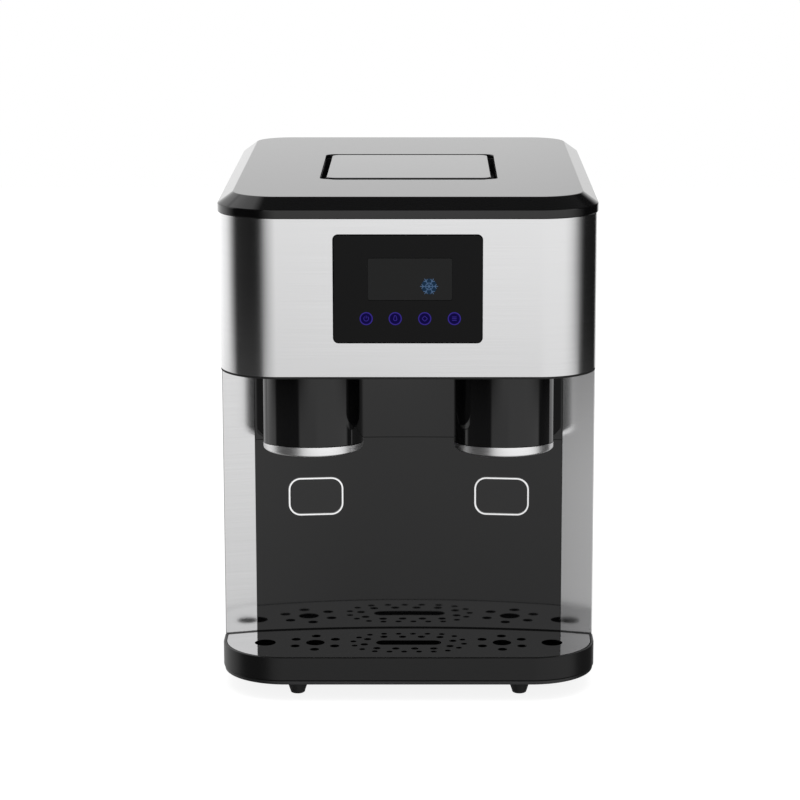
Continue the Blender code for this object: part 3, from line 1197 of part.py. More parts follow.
def make_inlet(housing):
    """Mains inlet socket with its three pins."""
    middle = (INLET_PLACE, INLET_LEVEL)
    front = REAR_PANEL_REAR + GAP
    rear = front + INLET_FLANGE_THICKNESS
    flange = prism(rounded(middle, *INLET_FLANGE, INLET_RADIUS, 2), front, rear, facing)
    inlet = add_piece("power_inlet", flange, BLACK_SATIN, housing)
    outline = rounded(middle, *INLET_BODY, INLET_RADIUS, 2)
    body = prism(outline, front - INLET_BODY_DEPTH, rear - GAP, facing)
    fuse(inlet, body, housing)
    floor = rear - INLET_SOCKET_DEPTH
    socket = prism(rounded(middle, *INLET_SOCKET, INLET_RADIUS, 2), floor, rear + OVERRUN, facing)
    cut(inlet, socket, housing)
    rise = INLET_PIN_SPREAD / 4
    for place_x, level in ((-INLET_PIN_SPREAD, -rise), (0, rise), (INLET_PIN_SPREAD, -rise)):
        spot = (INLET_PLACE + place_x, INLET_LEVEL + level)
        half = [size / 2 for size in INLET_PIN]
        pin = box_outline(spot[0] - half[0], spot[0] + half[0], spot[1] - half[1], spot[1] + half[1])
        fuse(inlet, prism(pin, floor - INLET_PIN_ROOT, floor + INLET_PIN_LENGTH, facing), housing)


def make_drain(housing):
    """Drain port through the rear panel and its pull out plug."""
    centre = (DRAIN_PLACE, REAR_PANEL_REAR + GAP, DRAIN_LEVEL)
    backward = (0, 1, 0)
    profile = [(DRAIN_BORE, -DRAIN_PIPE), (DRAIN_RADIUS, -DRAIN_PIPE), (DRAIN_RADIUS, 0), (DRAIN_FLANGE, 0),
               (DRAIN_FLANGE, DRAIN_FLANGE_THICKNESS), (DRAIN_RADIUS, DRAIN_FLANGE_THICKNESS),
               (DRAIN_RADIUS, DRAIN_PROUD), (DRAIN_BORE, DRAIN_PROUD)]
    port = lathe(profile, 16, centre, backward)
    add_piece("drain_port", port, BLACK_SATIN, housing)
    seat = DRAIN_PROUD + GAP
    profile = [(0, seat - PLUG_LENGTH), (PLUG_STEM, seat - PLUG_LENGTH), (PLUG_STEM, seat),
               (PLUG_HEAD, seat), (PLUG_HEAD, seat + PLUG_HEAD_THICKNESS), (0, seat + PLUG_HEAD_THICKNESS)]
    plug = lathe(profile, 16, centre, backward)
    add_piece("drain_plug", plug, BLACK_RUBBER, housing, centre)


def main():
    """Build the whole machine."""
    clear_scene()
    housing = make_housing()
    make_base(housing)
    make_side_panels(housing)
    make_bay_panels(housing)
    make_push_pads(housing)
    make_head(housing)
    make_control_panel(housing)
    make_cover(housing)
    make_spouts(housing)
    make_tray(housing)
    make_water_side(housing)
    make_ice_side(housing)
    make_ice_unit(housing)
    compressor_top = make_compressor(housing)
    condenser_depth = make_condenser(housing)
    make_fan(housing)
    make_pipes(housing, compressor_top, condenser_depth)
    make_power_box(housing)
    make_rear_panel(housing)
    make_inlet(housing)
    make_drain(housing)


main()
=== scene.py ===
"""Looks of a countertop flake ice maker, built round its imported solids.

Every sub-assembly is a class that holds its sizes in metres, builds its fine meshes and dresses them.
The machine stands on z = 0 with its dispensing bay facing -Y.
"""

from __future__ import annotations

import json
import logging
import math
from collections.abc import Callable, Iterable
from dataclasses import dataclass, field
from enum import Enum
from typing import Any

import bmesh
import bpy
from bmesh.types import BMEdge, BMesh, BMFace, BMVert
from mathutils import Matrix, Vector

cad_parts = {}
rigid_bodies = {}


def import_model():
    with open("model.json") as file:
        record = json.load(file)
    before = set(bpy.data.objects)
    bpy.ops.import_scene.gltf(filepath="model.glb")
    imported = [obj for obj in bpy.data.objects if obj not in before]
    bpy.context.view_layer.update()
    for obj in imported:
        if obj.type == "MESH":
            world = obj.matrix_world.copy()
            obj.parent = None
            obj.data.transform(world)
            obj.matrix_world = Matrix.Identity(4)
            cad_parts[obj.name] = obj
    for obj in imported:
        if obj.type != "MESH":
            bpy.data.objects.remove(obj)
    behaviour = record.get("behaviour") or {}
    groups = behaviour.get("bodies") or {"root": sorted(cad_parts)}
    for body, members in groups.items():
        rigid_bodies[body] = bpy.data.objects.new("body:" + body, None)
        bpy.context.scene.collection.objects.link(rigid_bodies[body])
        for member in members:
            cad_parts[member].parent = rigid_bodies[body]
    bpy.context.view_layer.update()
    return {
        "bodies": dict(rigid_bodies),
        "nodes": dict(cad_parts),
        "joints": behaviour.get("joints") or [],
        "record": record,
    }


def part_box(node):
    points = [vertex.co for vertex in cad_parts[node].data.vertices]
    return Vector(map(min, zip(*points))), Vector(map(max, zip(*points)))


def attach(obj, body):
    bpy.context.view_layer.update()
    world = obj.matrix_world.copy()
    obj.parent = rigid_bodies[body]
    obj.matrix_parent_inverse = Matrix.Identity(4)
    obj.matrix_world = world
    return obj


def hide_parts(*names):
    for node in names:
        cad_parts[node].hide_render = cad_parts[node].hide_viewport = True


LOG = logging.getLogger("flake_ice_maker")
ORIGIN = (0, 0, 0)
WHITE = (1, 1, 1, 1)
# Metres: the play between two pieces, how far a cutting tool reaches past, and how near vertices are merged.
GAP = 0.0003
OVERRUN = 0.004
WELD = 0.00001
# The smallest angle between two faces that counts as an edge, and two turns in degrees.
CREASE = math.radians(28)
HALF_TURN = 180
QUARTER = 90
# How many finer layers the noise of a grain and of handling has.
GRAIN_LAYERS = 3.0
HANDLING_LAYERS = 2.0


class Way(Enum):
    """The ways that a face may look."""

    UP = (0.0, 0.0, 1.0)
    DOWN = (0.0, 0.0, -1.0)
    FRONT = (0.0, -1.0, 0.0)
    RIGHT = (1.0, 0.0, 0.0)


class Side(Enum):
    """The two halves of the machine, as seen by its user."""

    LEFT = -1
    RIGHT = 1

    @property
    def word(self) -> str:
        """The side's name as the nodes spell it."""
        return self.name.lower()


class Grain(Enum):
    """How often a surface pattern repeats per metre along X, Y and Z."""

    BRUSHED = (9.0, 9.0, 1150.0)
    POLISHED = (35.0, 500.0, 500.0)
    LACQUERED = (24.0, 24.0, 24.1)
    MOULDED = (1500.0, 1500.0, 1500.0)
    CAST = (520.0, 520.0, 520.0)
    DRAWN = (60.0, 60.0, 61.0)
    WOVEN = (900.0, 40.0, 900.0)
    HANDLED = (7.0, 7.0, 7.1)


class Nodes:
    """The node tree of a material or a world, filled one node at a time."""

    def __init__(self, tree: bpy.types.NodeTree) -> None:
        """Take up a tree."""
        self.tree = tree

    def fill(self, node: bpy.types.Node, sockets: dict[str | int, Any]) -> bpy.types.Node:
        """Set or link sockets of a node.

        Args:
            node: the node.
            sockets: by name or number, a value to set or another node's output to link.

        Returns:
            The same node.
        """
        for key, value in sockets.items():
            if isinstance(value, bpy.types.NodeSocket):
                self.tree.links.new(value, node.inputs[key])
            else:
                node.inputs[key].default_value = value
        return node

    def add(self, kind: str, sockets: dict[str | int, Any] | None = None) -> bpy.types.Node:
        """Add a shader node of a kind, and fill its sockets."""
        return self.fill(self.tree.nodes.new(f"ShaderNode{kind}"), sockets or {})

    def math(self, operation: str, *parts: Any) -> bpy.types.NodeSocket:
        """Add a math node.

        Args:
            operation: what it does.
            parts: the outputs or numbers that it works on.

        Returns:
            The output with its result.
        """
        node = self.add("Math")
        node.operation = operation
        return self.fill(node, dict(enumerate(parts))).outputs[0]


@dataclass(frozen=True)
class Finish:
    """One procedural surface finish.

    Args:
        name: name of the material.
        slot: the record's material slot that it stands for; not used.
        colour: linear base colour.
        roughness: middle roughness.
        grain: the pattern that varies colour, roughness and relief.
        metallic: share of bare metal.
        shade_share: how far the grain lightens and darkens the colour.
        rough_share: how far the grain and handling change the roughness.
        relief: height of the grain, in metres.
        anisotropy: how far reflections are drawn out one way.
        ior: index of refraction.
        clear: share of light let through.
        glow: strength of its own light.
    """

    name: str
    slot: str
    colour: tuple[float, float, float]
    roughness: float
    grain: Grain
    metallic: float = 0.0
    shade_share: float = 0.08
    rough_share: float = 0.2
    relief: float = 0.0
    anisotropy: float = 0.0
    ior: float = 1.5
    clear: float = 0.0
    glow: float = 0.0

    def material(self) -> bpy.types.Material:
        """Build the material once, and find it again afterwards.

        Returns:
            The material with its node tree.
        """
        title = f"{self.name}_finish"
        found = bpy.data.materials.get(title)
        if found:
            return found
        made = bpy.data.materials.new(title)
        made.use_nodes = True
        nodes = Nodes(made.node_tree)
        shader = made.node_tree.nodes["Principled BSDF"]
        place = nodes.add("TexCoord").outputs["Object"]
        grain = self._noise(nodes, place, self.grain, GRAIN_LAYERS)
        handling = self._noise(nodes, place, Grain.HANDLED, HANDLING_LAYERS)
        tone = nodes.add("Mix")
        tone.data_type = "RGBA"
        darker, lighter = (
            (*(min(1.0, part * share) for part in self.colour), 1.0)
            for share in (1 - self.shade_share, 1 + self.shade_share)
        )
        colour = nodes.fill(tone, {0: grain, 6: darker, 7: lighter}).outputs[2]
        rough = nodes.add("MapRange", {
            "Value": nodes.math("ADD", grain, handling), "From Min": 0.5, "From Max": 1.5,
            "To Min": self.roughness * (1 - self.rough_share),
            "To Max": self.roughness * (1 + self.rough_share),
        })
        nodes.fill(shader, {
            "Base Color": colour, "Roughness": rough.outputs["Result"], "Metallic": self.metallic,
            "IOR": self.ior, "Anisotropic": self.anisotropy, "Transmission Weight": self.clear,
        })
        if self.relief:
            bump = nodes.add("Bump", {"Strength": 1.0, "Distance": self.relief, "Height": grain})
            nodes.fill(shader, {"Normal": bump.outputs["Normal"]})
        if self.glow:
            nodes.fill(shader, {"Emission Strength": self.glow, "Emission Color": colour})
        return made

    @staticmethod
    def _noise(
        nodes: Nodes, place: bpy.types.NodeSocket, pattern: Grain, layers: float
    ) -> bpy.types.NodeSocket:
        """Add a noise pattern on the object's own coordinates.

        Args:
            nodes: the material's node tree.
            place: output with the coordinates.
            pattern: how often it repeats.
            layers: number of finer layers.

        Returns:
            The output with the pattern.
        """
        mapping = nodes.add("Mapping", {"Vector": place, "Scale": pattern.value})
        noise = nodes.add("TexNoise", {"Vector": mapping.outputs["Vector"], "Scale": 1.0, "Detail": layers})
        return noise.outputs["Fac"]


BRUSHED_STEEL = Finish(
    "brushed_steel", "brushed_steel", (0.75, 0.75, 0.755), 0.155, Grain.BRUSHED, metallic=1.0,
    shade_share=0.06, rough_share=0.12, relief=0.000004, anisotropy=0.4,
)
TUBE_STEEL = Finish(
    "tube_steel", "brushed_steel", (0.66, 0.66, 0.67), 0.3, Grain.BRUSHED, metallic=1.0,
    relief=0.00001, anisotropy=0.5,
)
PLATE_STEEL = Finish(
    "polished_plate", "polished_steel", (0.85, 0.85, 0.855), 0.07, Grain.POLISHED, metallic=1.0,
    shade_share=0.03, rough_share=0.25, relief=0.000001,
)
RING_METAL = Finish(
    "satin_ring", "bright_trim", (0.97, 0.97, 0.975), 0.3, Grain.BRUSHED, metallic=1.0,
    shade_share=0.06, relief=0.000004, anisotropy=0.4,
)
# Bright trim metal with a little glow of its own: painted highlight that makes the pad outlines and the flap
# pin read white.
CHROME_PAINTED_GLOW = Finish(
    "chrome_line", "bright_trim", (0.96, 0.96, 0.965), 0.2, Grain.POLISHED, metallic=1.0,
    shade_share=0.03, glow=0.16,
)
BLACK_LACQUER = Finish(
    "black_lacquer", "black_gloss", (0.0035, 0.0035, 0.0038), 0.05, Grain.LACQUERED,
    shade_share=0.1, rough_share=0.3, relief=0.00001,
)
COVER_BLACK = Finish(
    "cover_black", "black_gloss", (0.004, 0.004, 0.0042), 0.08, Grain.LACQUERED,
    shade_share=0.1, relief=0.000005,
)
# The bay's gloss black with a lighter base colour: painted reflection, so that the flat pads look brighter
# than the concave wall.
PAD_BLACK_PAINTED_REFLECTION = Finish(
    "pad_black", "black_gloss", (0.013, 0.013, 0.0133), 0.07, Grain.LACQUERED,
    shade_share=0.1, rough_share=0.3, relief=0.00001,
)
TRAY_BLACK = Finish(
    "tray_black", "black_gloss", (0.0075, 0.0075, 0.0077), 0.33, Grain.MOULDED,
    shade_share=0.15, relief=0.00001, ior=1.39,
)
FASCIA_BLACK = Finish(
    "fascia_black", "black_gloss", (0.0028, 0.0028, 0.003), 0.12, Grain.LACQUERED,
    relief=0.000003, ior=1.22,
)
SMOKED_WINDOW = Finish(
    "smoked_window", "screen", (0.0175, 0.0178, 0.0178), 0.1, Grain.LACQUERED,
    shade_share=0.05, relief=0.000002, ior=1.22,
)
BLACK_SATIN = Finish(
    "black_satin", "black_satin", (0.014, 0.014, 0.015), 0.42, Grain.MOULDED,
    shade_share=0.2, relief=0.00003,
)
BLACK_RUBBER = Finish(
    "black_rubber", "black_rubber", (0.012, 0.012, 0.012), 0.72, Grain.CAST,
    shade_share=0.2, rough_share=0.15, relief=0.00005,
)
PAINTED_BLACK = Finish(
    "powder_coat", "painted_black", (0.013, 0.013, 0.014), 0.45, Grain.CAST,
    shade_share=0.15, relief=0.00004,
)
WHITE_PLASTIC = Finish(
    "white_plastic", "white_plastic", (0.72, 0.72, 0.70), 0.38, Grain.MOULDED,
    shade_share=0.03, relief=0.00001,
)
CLEAR_PLASTIC = Finish(
    "clear_plastic", "clear_plastic", (0.74, 0.77, 0.79), 0.25, Grain.LACQUERED,
    shade_share=0.03, rough_share=0.3, relief=0.00001, clear=0.7, ior=1.49,
)
COPPER = Finish(
    "copper_pipe", "copper", (0.72, 0.36, 0.23), 0.3, Grain.DRAWN, metallic=1.0,
    shade_share=0.15, rough_share=0.35, relief=0.00001,
)
ALUMINIUM = Finish(
    "cast_aluminium", "aluminium", (0.66, 0.67, 0.68), 0.4, Grain.CAST, metallic=1.0,
    rough_share=0.25, relief=0.00003,
)
BOARD_GREEN = Finish(
    "circuit_board", "circuit_board", (0.02, 0.11, 0.05), 0.45, Grain.WOVEN,
    shade_share=0.45, relief=0.00003,
)
SCREW_STEEL = Finish(
    "zinc_screw", "screw_steel", (0.68, 0.68, 0.66), 0.28, Grain.CAST, metallic=1.0,
    shade_share=0.1, rough_share=0.3, relief=0.00001,
)
SIGN_VIOLET = Finish(
    "sign_violet", "screen", (0.026, 0.016, 0.16), 0.4, Grain.LACQUERED,
    shade_share=0.2, ior=1.1, glow=0.8,
)
SIGN_DARK = Finish(
    "sign_dark", "screen", (0.004, 0.002, 0.045), 0.4, Grain.LACQUERED,
    shade_share=0.2, ior=1.1, glow=0.45,
)
SIGN_BLUE = Finish(
    "sign_blue", "screen", (0.05, 0.09, 0.16), 0.4, Grain.LACQUERED,
    shade_share=0.25, ior=1.1, glow=0.8,
)
SIGN_DEEP = Finish(
    "sign_deep", "screen", (0.008, 0.022, 0.045), 0.4, Grain.LACQUERED,
    shade_share=0.25, ior=1.1, glow=0.6,
)


def at_depth(depth: float) -> float:
    """The Y of a depth measured back from the front of the top cover."""
    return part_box("top_cover")[0].y + depth


def centre(node: str) -> tuple[float, float, float]:
    """The middle of a node's box."""
    return tuple((low + high) / 2 for low, high in zip(*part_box(node)))


def verts_in(parts: Iterable) -> list[BMVert]:
    """Only the vertices among the parts that an operator returned."""
    return [part for part in parts if isinstance(part, BMVert)]


def cap(body: BMesh, way: Way) -> BMFace:
    """Find the face that lies furthest one way and looks that way.

    Args:
        body: a closed mesh.
        way: where the face looks.

    Returns:
        The outermost face of those that look that way.
    """
    bmesh.ops.recalc_face_normals(body, faces=body.faces[:])
    aim = Vector(way.value)
    looking = [face for face in body.faces if face.normal.dot(aim) > math.cos(CREASE)]
    return max(looking, key=lambda face: round(face.calc_center_median().dot(aim), 6) + face.calc_area())


def push(body: BMesh, face: BMFace, margin: float, shift: tuple[float, float, float]) -> BMFace:
    """Inset a face and extrude its inner part, which leaves a flat rim.

    Args:
        body: the mesh that holds the face.
        face: the face to work on.
        margin: width of the rim.
        shift: where the inner part goes.

    Returns:
        The face at the end of the extrusion.
    """
    bmesh.ops.inset_region(body, faces=[face], thickness=margin, use_even_offset=True)
    grown = bmesh.ops.extrude_face_region(body, geom=[face])["geom"]
    bmesh.ops.translate(body, vec=shift, verts=verts_in(grown))
    if face.is_valid:
        bmesh.ops.delete(body, geom=[face], context="FACES_ONLY")
    return next(part for part in grown if isinstance(part, BMFace))


def slope(body: BMesh, face: BMFace, margin: float, shift: tuple[float, float, float]) -> BMFace:
    """Inset a face and shift it, which leaves a sloped rim.

    Args:
        body: the mesh that holds the face.
        face: the face to work on.
        margin: width of the rim.
        shift: where the inner part goes.

    Returns:
        The same face, now smaller.
    """
    bmesh.ops.inset_region(body, faces=[face], thickness=margin, use_even_offset=True)
    bmesh.ops.translate(body, vec=shift, verts=face.verts[:])
    return face


def rounded(body: BMesh, parts: list, width: float, segments: int, affect: str = "EDGES") -> None:
    """Bevel edges, or the corners of a flat face, to a round profile.

    Args:
        body: the mesh that holds them.
        parts: the edges or the vertices.
        width: radius of the rounding.
        segments: number of facets across it.
        affect: EDGES or VERTICES.
    """
    bmesh.ops.bevel(
        body, geom=parts, offset=width, offset_type="OFFSET", segments=segments, profile=0.5,
        affect=affect, clamp_overlap=affect == "EDGES", material=-1,
    )


def soften(
    body: BMesh, width: float, segments: int = 3, chosen: Callable[[BMEdge], bool] = lambda edge: True
) -> BMesh:
    """Round the creased edges of a mesh.

    Args:
        body: a closed mesh.
        width: radius of the rounding.
        segments: number of facets across it.
        chosen: says which creased edges are rounded.

    Returns:
        The same mesh.
    """
    bmesh.ops.recalc_face_normals(body, faces=body.faces[:])
    creased = [
        edge for edge in body.edges
        if len(edge.link_faces) == 2 and edge.calc_face_angle(0.0) > CREASE and chosen(edge)
    ]
    rounded(body, creased, width, segments)
    return body


def placed(name: str, data: bpy.types.ID, place: tuple[float, float, float] = ORIGIN) -> bpy.types.Object:
    """Make an object of its data.

    Args:
        name: name of the object.
        data: its mesh, camera or light.
        place: where it stands.

    Returns:
        The object, linked to the scene.
    """
    item = bpy.data.objects.new(name, data)
    item.location = place
    bpy.context.scene.collection.objects.link(item)
    return item


def as_object(name: str, body: BMesh) -> bpy.types.Object:
    """Make a mesh object of a bmesh, which is used up.

    Args:
        name: name of the object.
        body: the mesh.

    Returns:
        The object, linked to the scene.
    """
    mesh = bpy.data.meshes.new(name)
    body.to_mesh(mesh)
    body.free()
    return placed(name, mesh)


def cut_away(body: BMesh, tool: BMesh) -> BMesh:
    """Cut one closed mesh from another.

    Args:
        body: the mesh that is cut, which is used up.
        tool: the mesh that is taken away, which is used up.

    Returns:
        What is left.
    """
    for part in (body, tool):
        bmesh.ops.recalc_face_normals(part, faces=part.faces[:])
    item = as_object("work", body)
    helper = as_object("tool", tool)
    boolean = item.modifiers.new("boolean", "BOOLEAN")
    boolean.operation = "DIFFERENCE"
    boolean.object = helper
    graph = bpy.context.evaluated_depsgraph_get()
    result = bmesh.new()
    result.from_mesh(item.evaluated_get(graph).to_mesh())
    for spent in (item, helper):
        mesh = spent.data
        bpy.data.objects.remove(spent)
        bpy.data.meshes.remove(mesh)
    return result


def joined(parts: Iterable[BMesh]) -> BMesh:
    """Put several separate meshes into one, and use them up.

    Args:
        parts: the meshes, which are used up.

    Returns:
        The one mesh.
    """
    whole = bmesh.new()
    for part in parts:
        mesh = bpy.data.meshes.new("part")
        part.to_mesh(mesh)
        part.free()
        whole.from_mesh(mesh)
        bpy.data.meshes.remove(mesh)
    return whole


def swung(body: BMesh, degrees: float, axis: str) -> BMesh:
    """Turn a whole mesh about an axis through the origin.

    Args:
        body: the mesh.
        degrees: the turn.
        axis: X, Y or Z.

    Returns:
        The same mesh.
    """
    turn = Matrix.Rotation(math.radians(degrees), 3, axis)
    bmesh.ops.rotate(body, cent=ORIGIN, matrix=turn, verts=body.verts)
    return body


def stand(body: BMesh) -> BMesh:
    """Tip a mesh up, so that what looked up now looks to the front and its Y is now Z."""
    return swung(body, QUARTER, "X")


def moved(body: BMesh, x: float = 0.0, y: float = 0.0, z: float = 0.0) -> BMesh:
    """Shift a whole mesh."""
    bmesh.ops.translate(body, vec=(x, y, z), verts=body.verts)
    return body


def mirrored(body: BMesh, side: Side) -> BMesh:
    """Turn a mesh made for the right side into its image on the left, where it belongs there.

    Args:
        body: the mesh.
        side: where it belongs.

    Returns:
        The same mesh.
    """
    if side is Side.LEFT:
        bmesh.ops.scale(body, vec=(-1, 1, 1), verts=body.verts)
        bmesh.ops.reverse_faces(body, faces=body.faces[:])
    return body


def turned(profile: list[tuple[float, float]], steps: int = 48) -> BMesh:
    """Spin a profile about Z.

    Args:
        profile: points of radius and height, from one end of the axis to the other.
        steps: number of facets round the axis.

    Returns:
        A closed mesh.
    """
    body = bmesh.new()
    knots = [body.verts.new((radius, 0, height)) for radius, height in profile]
    edges = [body.edges.new(pair) for pair in zip(knots, knots[1:])]
    bmesh.ops.spin(body, geom=knots + edges, cent=ORIGIN, axis=(0, 0, 1), angle=math.tau, steps=steps,
                   use_merge=True)
    bmesh.ops.remove_doubles(body, verts=body.verts, dist=WELD)
    bmesh.ops.recalc_face_normals(body, faces=body.faces[:])
    return body


def rectangle(left: float, right: float, near: float, far: float) -> BMesh:
    """One flat rectangular face at level zero.

    Args:
        left: lowest X.
        right: highest X.
        near: lowest Y.
        far: highest Y.

    Returns:
        The mesh.
    """
    body = bmesh.new()
    bmesh.ops.create_grid(body, x_segments=1, y_segments=1, size=0.5)
    bmesh.ops.scale(body, vec=(right - left, far - near, 1), verts=body.verts)
    return moved(body, (left + right) / 2, (near + far) / 2)


def disc(radius: float, low: float, high: float, steps: int) -> BMesh:
    """A round plate about Z.

    Args:
        radius: its radius.
        low: lower level.
        high: upper level.
        steps: number of facets round it.

    Returns:
        The closed mesh.
    """
    body = bmesh.new()
    bmesh.ops.create_circle(body, cap_ends=True, radius=radius, segments=steps)
    return extruded(body, low, high)


@dataclass(frozen=True)
class Plan:
    """A rectangle with round corners, as seen along the line in which it is extruded.

    Args:
        left: lowest X.
        right: highest X.
        near: lowest Y.
        far: highest Y.
        radius: corner radius at the near side.
        far_radius: corner radius at the far side, or the same if left out.
        steps: number of facets in each corner.
    """

    left: float
    right: float
    near: float
    far: float
    radius: float
    far_radius: float | None = None
    steps: int = 12

    @classmethod
    def over(cls, node: str, radius: float, far_radius: float | None = None, steps: int = 12) -> Plan:
        """The plan of a node seen from above."""
        low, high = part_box(node)
        return cls(low.x, high.x, low.y, high.y, radius, far_radius, steps)

    @classmethod
    def facing(cls, node: str, radius: float) -> Plan:
        """The plan of a node seen from the front."""
        low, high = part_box(node)
        return cls(low.x, high.x, low.z, high.z, radius)

    @classmethod
    def sized(cls, width: float, height: float, radius: float, steps: int = 12) -> Plan:
        """A plan about its own middle."""
        return cls(-width / 2, width / 2, -height / 2, height / 2, radius, None, steps)

    def grown(self, margin: float) -> Plan:
        """The plan with every side moved out.

        Args:
            margin: how far, or how far in where it is negative.

        Returns:
            The new plan.
        """
        far = None if self.far_radius is None else self.far_radius + margin
        return Plan(self.left - margin, self.right + margin, self.near - margin, self.far + margin,
                    self.radius + margin, far, self.steps)

    def sheet(self) -> BMesh:
        """The plan as one flat face.

        Returns:
            The mesh, at level zero.
        """
        body = rectangle(self.left, self.right, self.near, self.far)
        middle = (self.near + self.far) / 2
        far_radius = self.radius if self.far_radius is None else self.far_radius
        for bend, is_far in ((self.radius, False), (far_radius, True)):
            corners = [v for v in body.verts if (v.co.y > middle) == is_far]
            corners = sorted(corners, key=lambda v: abs(v.co.y - middle))[-2:]
            rounded(body, corners, bend, self.steps, "VERTICES")
        return body

    def solid(self, low: float, high: float) -> BMesh:
        """The plan extruded between two levels."""
        return extruded(self.sheet(), low, high)


def extruded(body: BMesh, low: float, high: float) -> BMesh:
    """Extrude a flat sheet between two levels.

    Args:
        body: one flat face, or several that don't touch, at level zero.
        low: lower level.
        high: upper level.

    Returns:
        The same mesh, now closed.
    """
    bmesh.ops.translate(body, vec=(0, 0, low), verts=body.verts)
    grown = bmesh.ops.extrude_face_region(body, geom=body.faces[:])["geom"]
    bmesh.ops.translate(body, vec=(0, 0, high - low), verts=verts_in(grown))
    bmesh.ops.recalc_face_normals(body, faces=body.faces[:])
    return body


class Strip:
    """A sheet bent along a path: an upright edge that is drawn along runs and bends."""

    def __init__(self, x: float, y: float, low: float, high: float) -> None:
        """Start the sheet.

        Args:
            x: X of its first edge.
            y: Y of its first edge.
            low: level of its lower border.
            high: level of its upper border.
        """
        self.body = bmesh.new()
        self.edge = self.body.edges.new([self.body.verts.new((x, y, level)) for level in (low, high)])

    def run(self, x: float, y: float) -> Strip:
        """Draw the sheet straight on to a place.

        Args:
            x: X of the place.
            y: Y of the place.

        Returns:
            The strip itself.
        """
        here = self.edge.verts[0].co
        shift = (x - here.x, y - here.y, 0)
        grown = bmesh.ops.extrude_edge_only(self.body, edges=[self.edge])["geom"]
        bmesh.ops.translate(self.body, vec=shift, verts=verts_in(grown))
        self.edge = next(part for part in grown if isinstance(part, BMEdge))
        return self

    def bend(self, x: float, y: float, degrees: float, steps: int = 24) -> Strip:
        """Draw the sheet round an upright axis at a place.

        Args:
            x: X of the axis.
            y: Y of the axis.
            degrees: the turn, positive where it goes from X to Y.
            steps: number of facets in it.

        Returns:
            The strip itself.
        """
        grown = bmesh.ops.spin(
            self.body, geom=[*self.edge.verts, self.edge], cent=(x, y, 0), axis=(0, 0, 1), dvec=(0, 0, 0),
            angle=math.radians(degrees), steps=steps, use_duplicate=False,
        )["geom_last"]
        self.edge = next(part for part in grown if isinstance(part, BMEdge))
        return self

    def shear(self, upper: bool, rise: float, y: float) -> Strip:
        """Tilt the upper or the lower border, so that it climbs towards the front.

        Args:
            upper: whether the upper border is tilted.
            rise: climb per metre towards the front.
            y: where the border keeps its level.

        Returns:
            The strip itself.
        """
        levels = [v.co.z for v in self.body.verts]
        middle = (min(levels) + max(levels)) / 2
        border = [v for v in self.body.verts if (v.co.z > middle) == upper]
        tilt = Matrix.Identity(4)
        tilt[2][1] = -rise
        tilt[2][3] = rise * y
        bmesh.ops.transform(self.body, matrix=tilt, verts=border)
        return self

    def thicken(self, wall: float, outward: Way) -> BMesh:
        """Give the sheet its wall, on the inner side.

        Args:
            wall: thickness.
            outward: the way in which the sheet's outermost face looks.

        Returns:
            The closed mesh.
        """
        aim = Vector(outward.value)
        bmesh.ops.remove_doubles(self.body, verts=self.body.verts, dist=WELD)
        bmesh.ops.recalc_face_normals(self.body, faces=self.body.faces[:])
        self.body.normal_update()
        probe = max(self.body.faces, key=lambda face: face.calc_center_median().dot(aim))
        if probe.normal.dot(aim) < 0:
            bmesh.ops.reverse_faces(self.body, faces=self.body.faces[:])
        bmesh.ops.solidify(self.body, geom=self.body.faces[:], thickness=wall)
        return self.body


def dress(name: str, body: BMesh, finish: Finish, *stands_for: str, rides: str = "housing") -> None:
    """Make a finished piece of a mesh, and tie it to the frame.

    Args:
        name: name of the piece.
        body: its mesh, in place, which is used up.
        finish: its surface.
        stands_for: the nodes that it replaces.
        rides: the body that it moves with.
    """
    bmesh.ops.recalc_face_normals(body, faces=body.faces[:])
    item = as_object(name, body)
    item.data.shade_smooth()
    item.data.set_sharp_from_angle(angle=CREASE)
    item.data.materials.append(finish.material())
    weighted = item.modifiers.new("weighted_normals", "WEIGHTED_NORMAL")
    weighted.keep_sharp = True
    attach(item, rides)
    if stands_for:
        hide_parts(*stands_for)
    LOG.info("piece %s: %d faces, %s, rides on %s", name, len(item.data.polygons), finish.name, rides)


@dataclass(frozen=True)
class BayArc:
    """The concave arc of the dispensing bay, seen from above, with a straight column at each end.

    Args:
        radius: radius of the arc.
        depth: how far its middle lies behind the front of the cover.
        spread: how far each end reaches past the solid wall.
        column_turn: how far the columns face inward, in degrees.
    """

    radius: float = 0.80
    depth: float = 0.091
    spread: float = 0.0012
    column_turn: float = 16.0

    @property
    def centre_y(self) -> float:
        """Y of the arc's centre, far in front of the machine."""
        return at_depth(self.depth) - self.radius

    @property
    def reach(self) -> float:
        """X at which the arc ends and the column begins."""
        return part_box("bay_panel_lower")[1].x + self.spread

    def y_at(self, x: float) -> float:
        """Y of the wall at a place across the bay.

        Args:
            x: the place, from the middle of the bay.

        Returns:
            The Y there.
        """
        across = min(abs(x), self.reach)
        beyond = (abs(x) - across) * math.tan(math.radians(self.column_turn))
        return self.centre_y + math.sqrt(self.radius ** 2 - across ** 2) - beyond

    def angle_at(self, x: float) -> float:
        """Turn in degrees from +X, about the centre, to a place on the wall."""
        return math.degrees(math.acos(x / self.radius))

    def frame_at(self, x: float, level: float) -> Matrix:
        """Place and turn of something that sits square on the wall."""
        turn = Matrix.Rotation(-math.asin(x / self.radius), 4, "Z")
        return Matrix.Translation((x, self.y_at(x), level)) @ turn


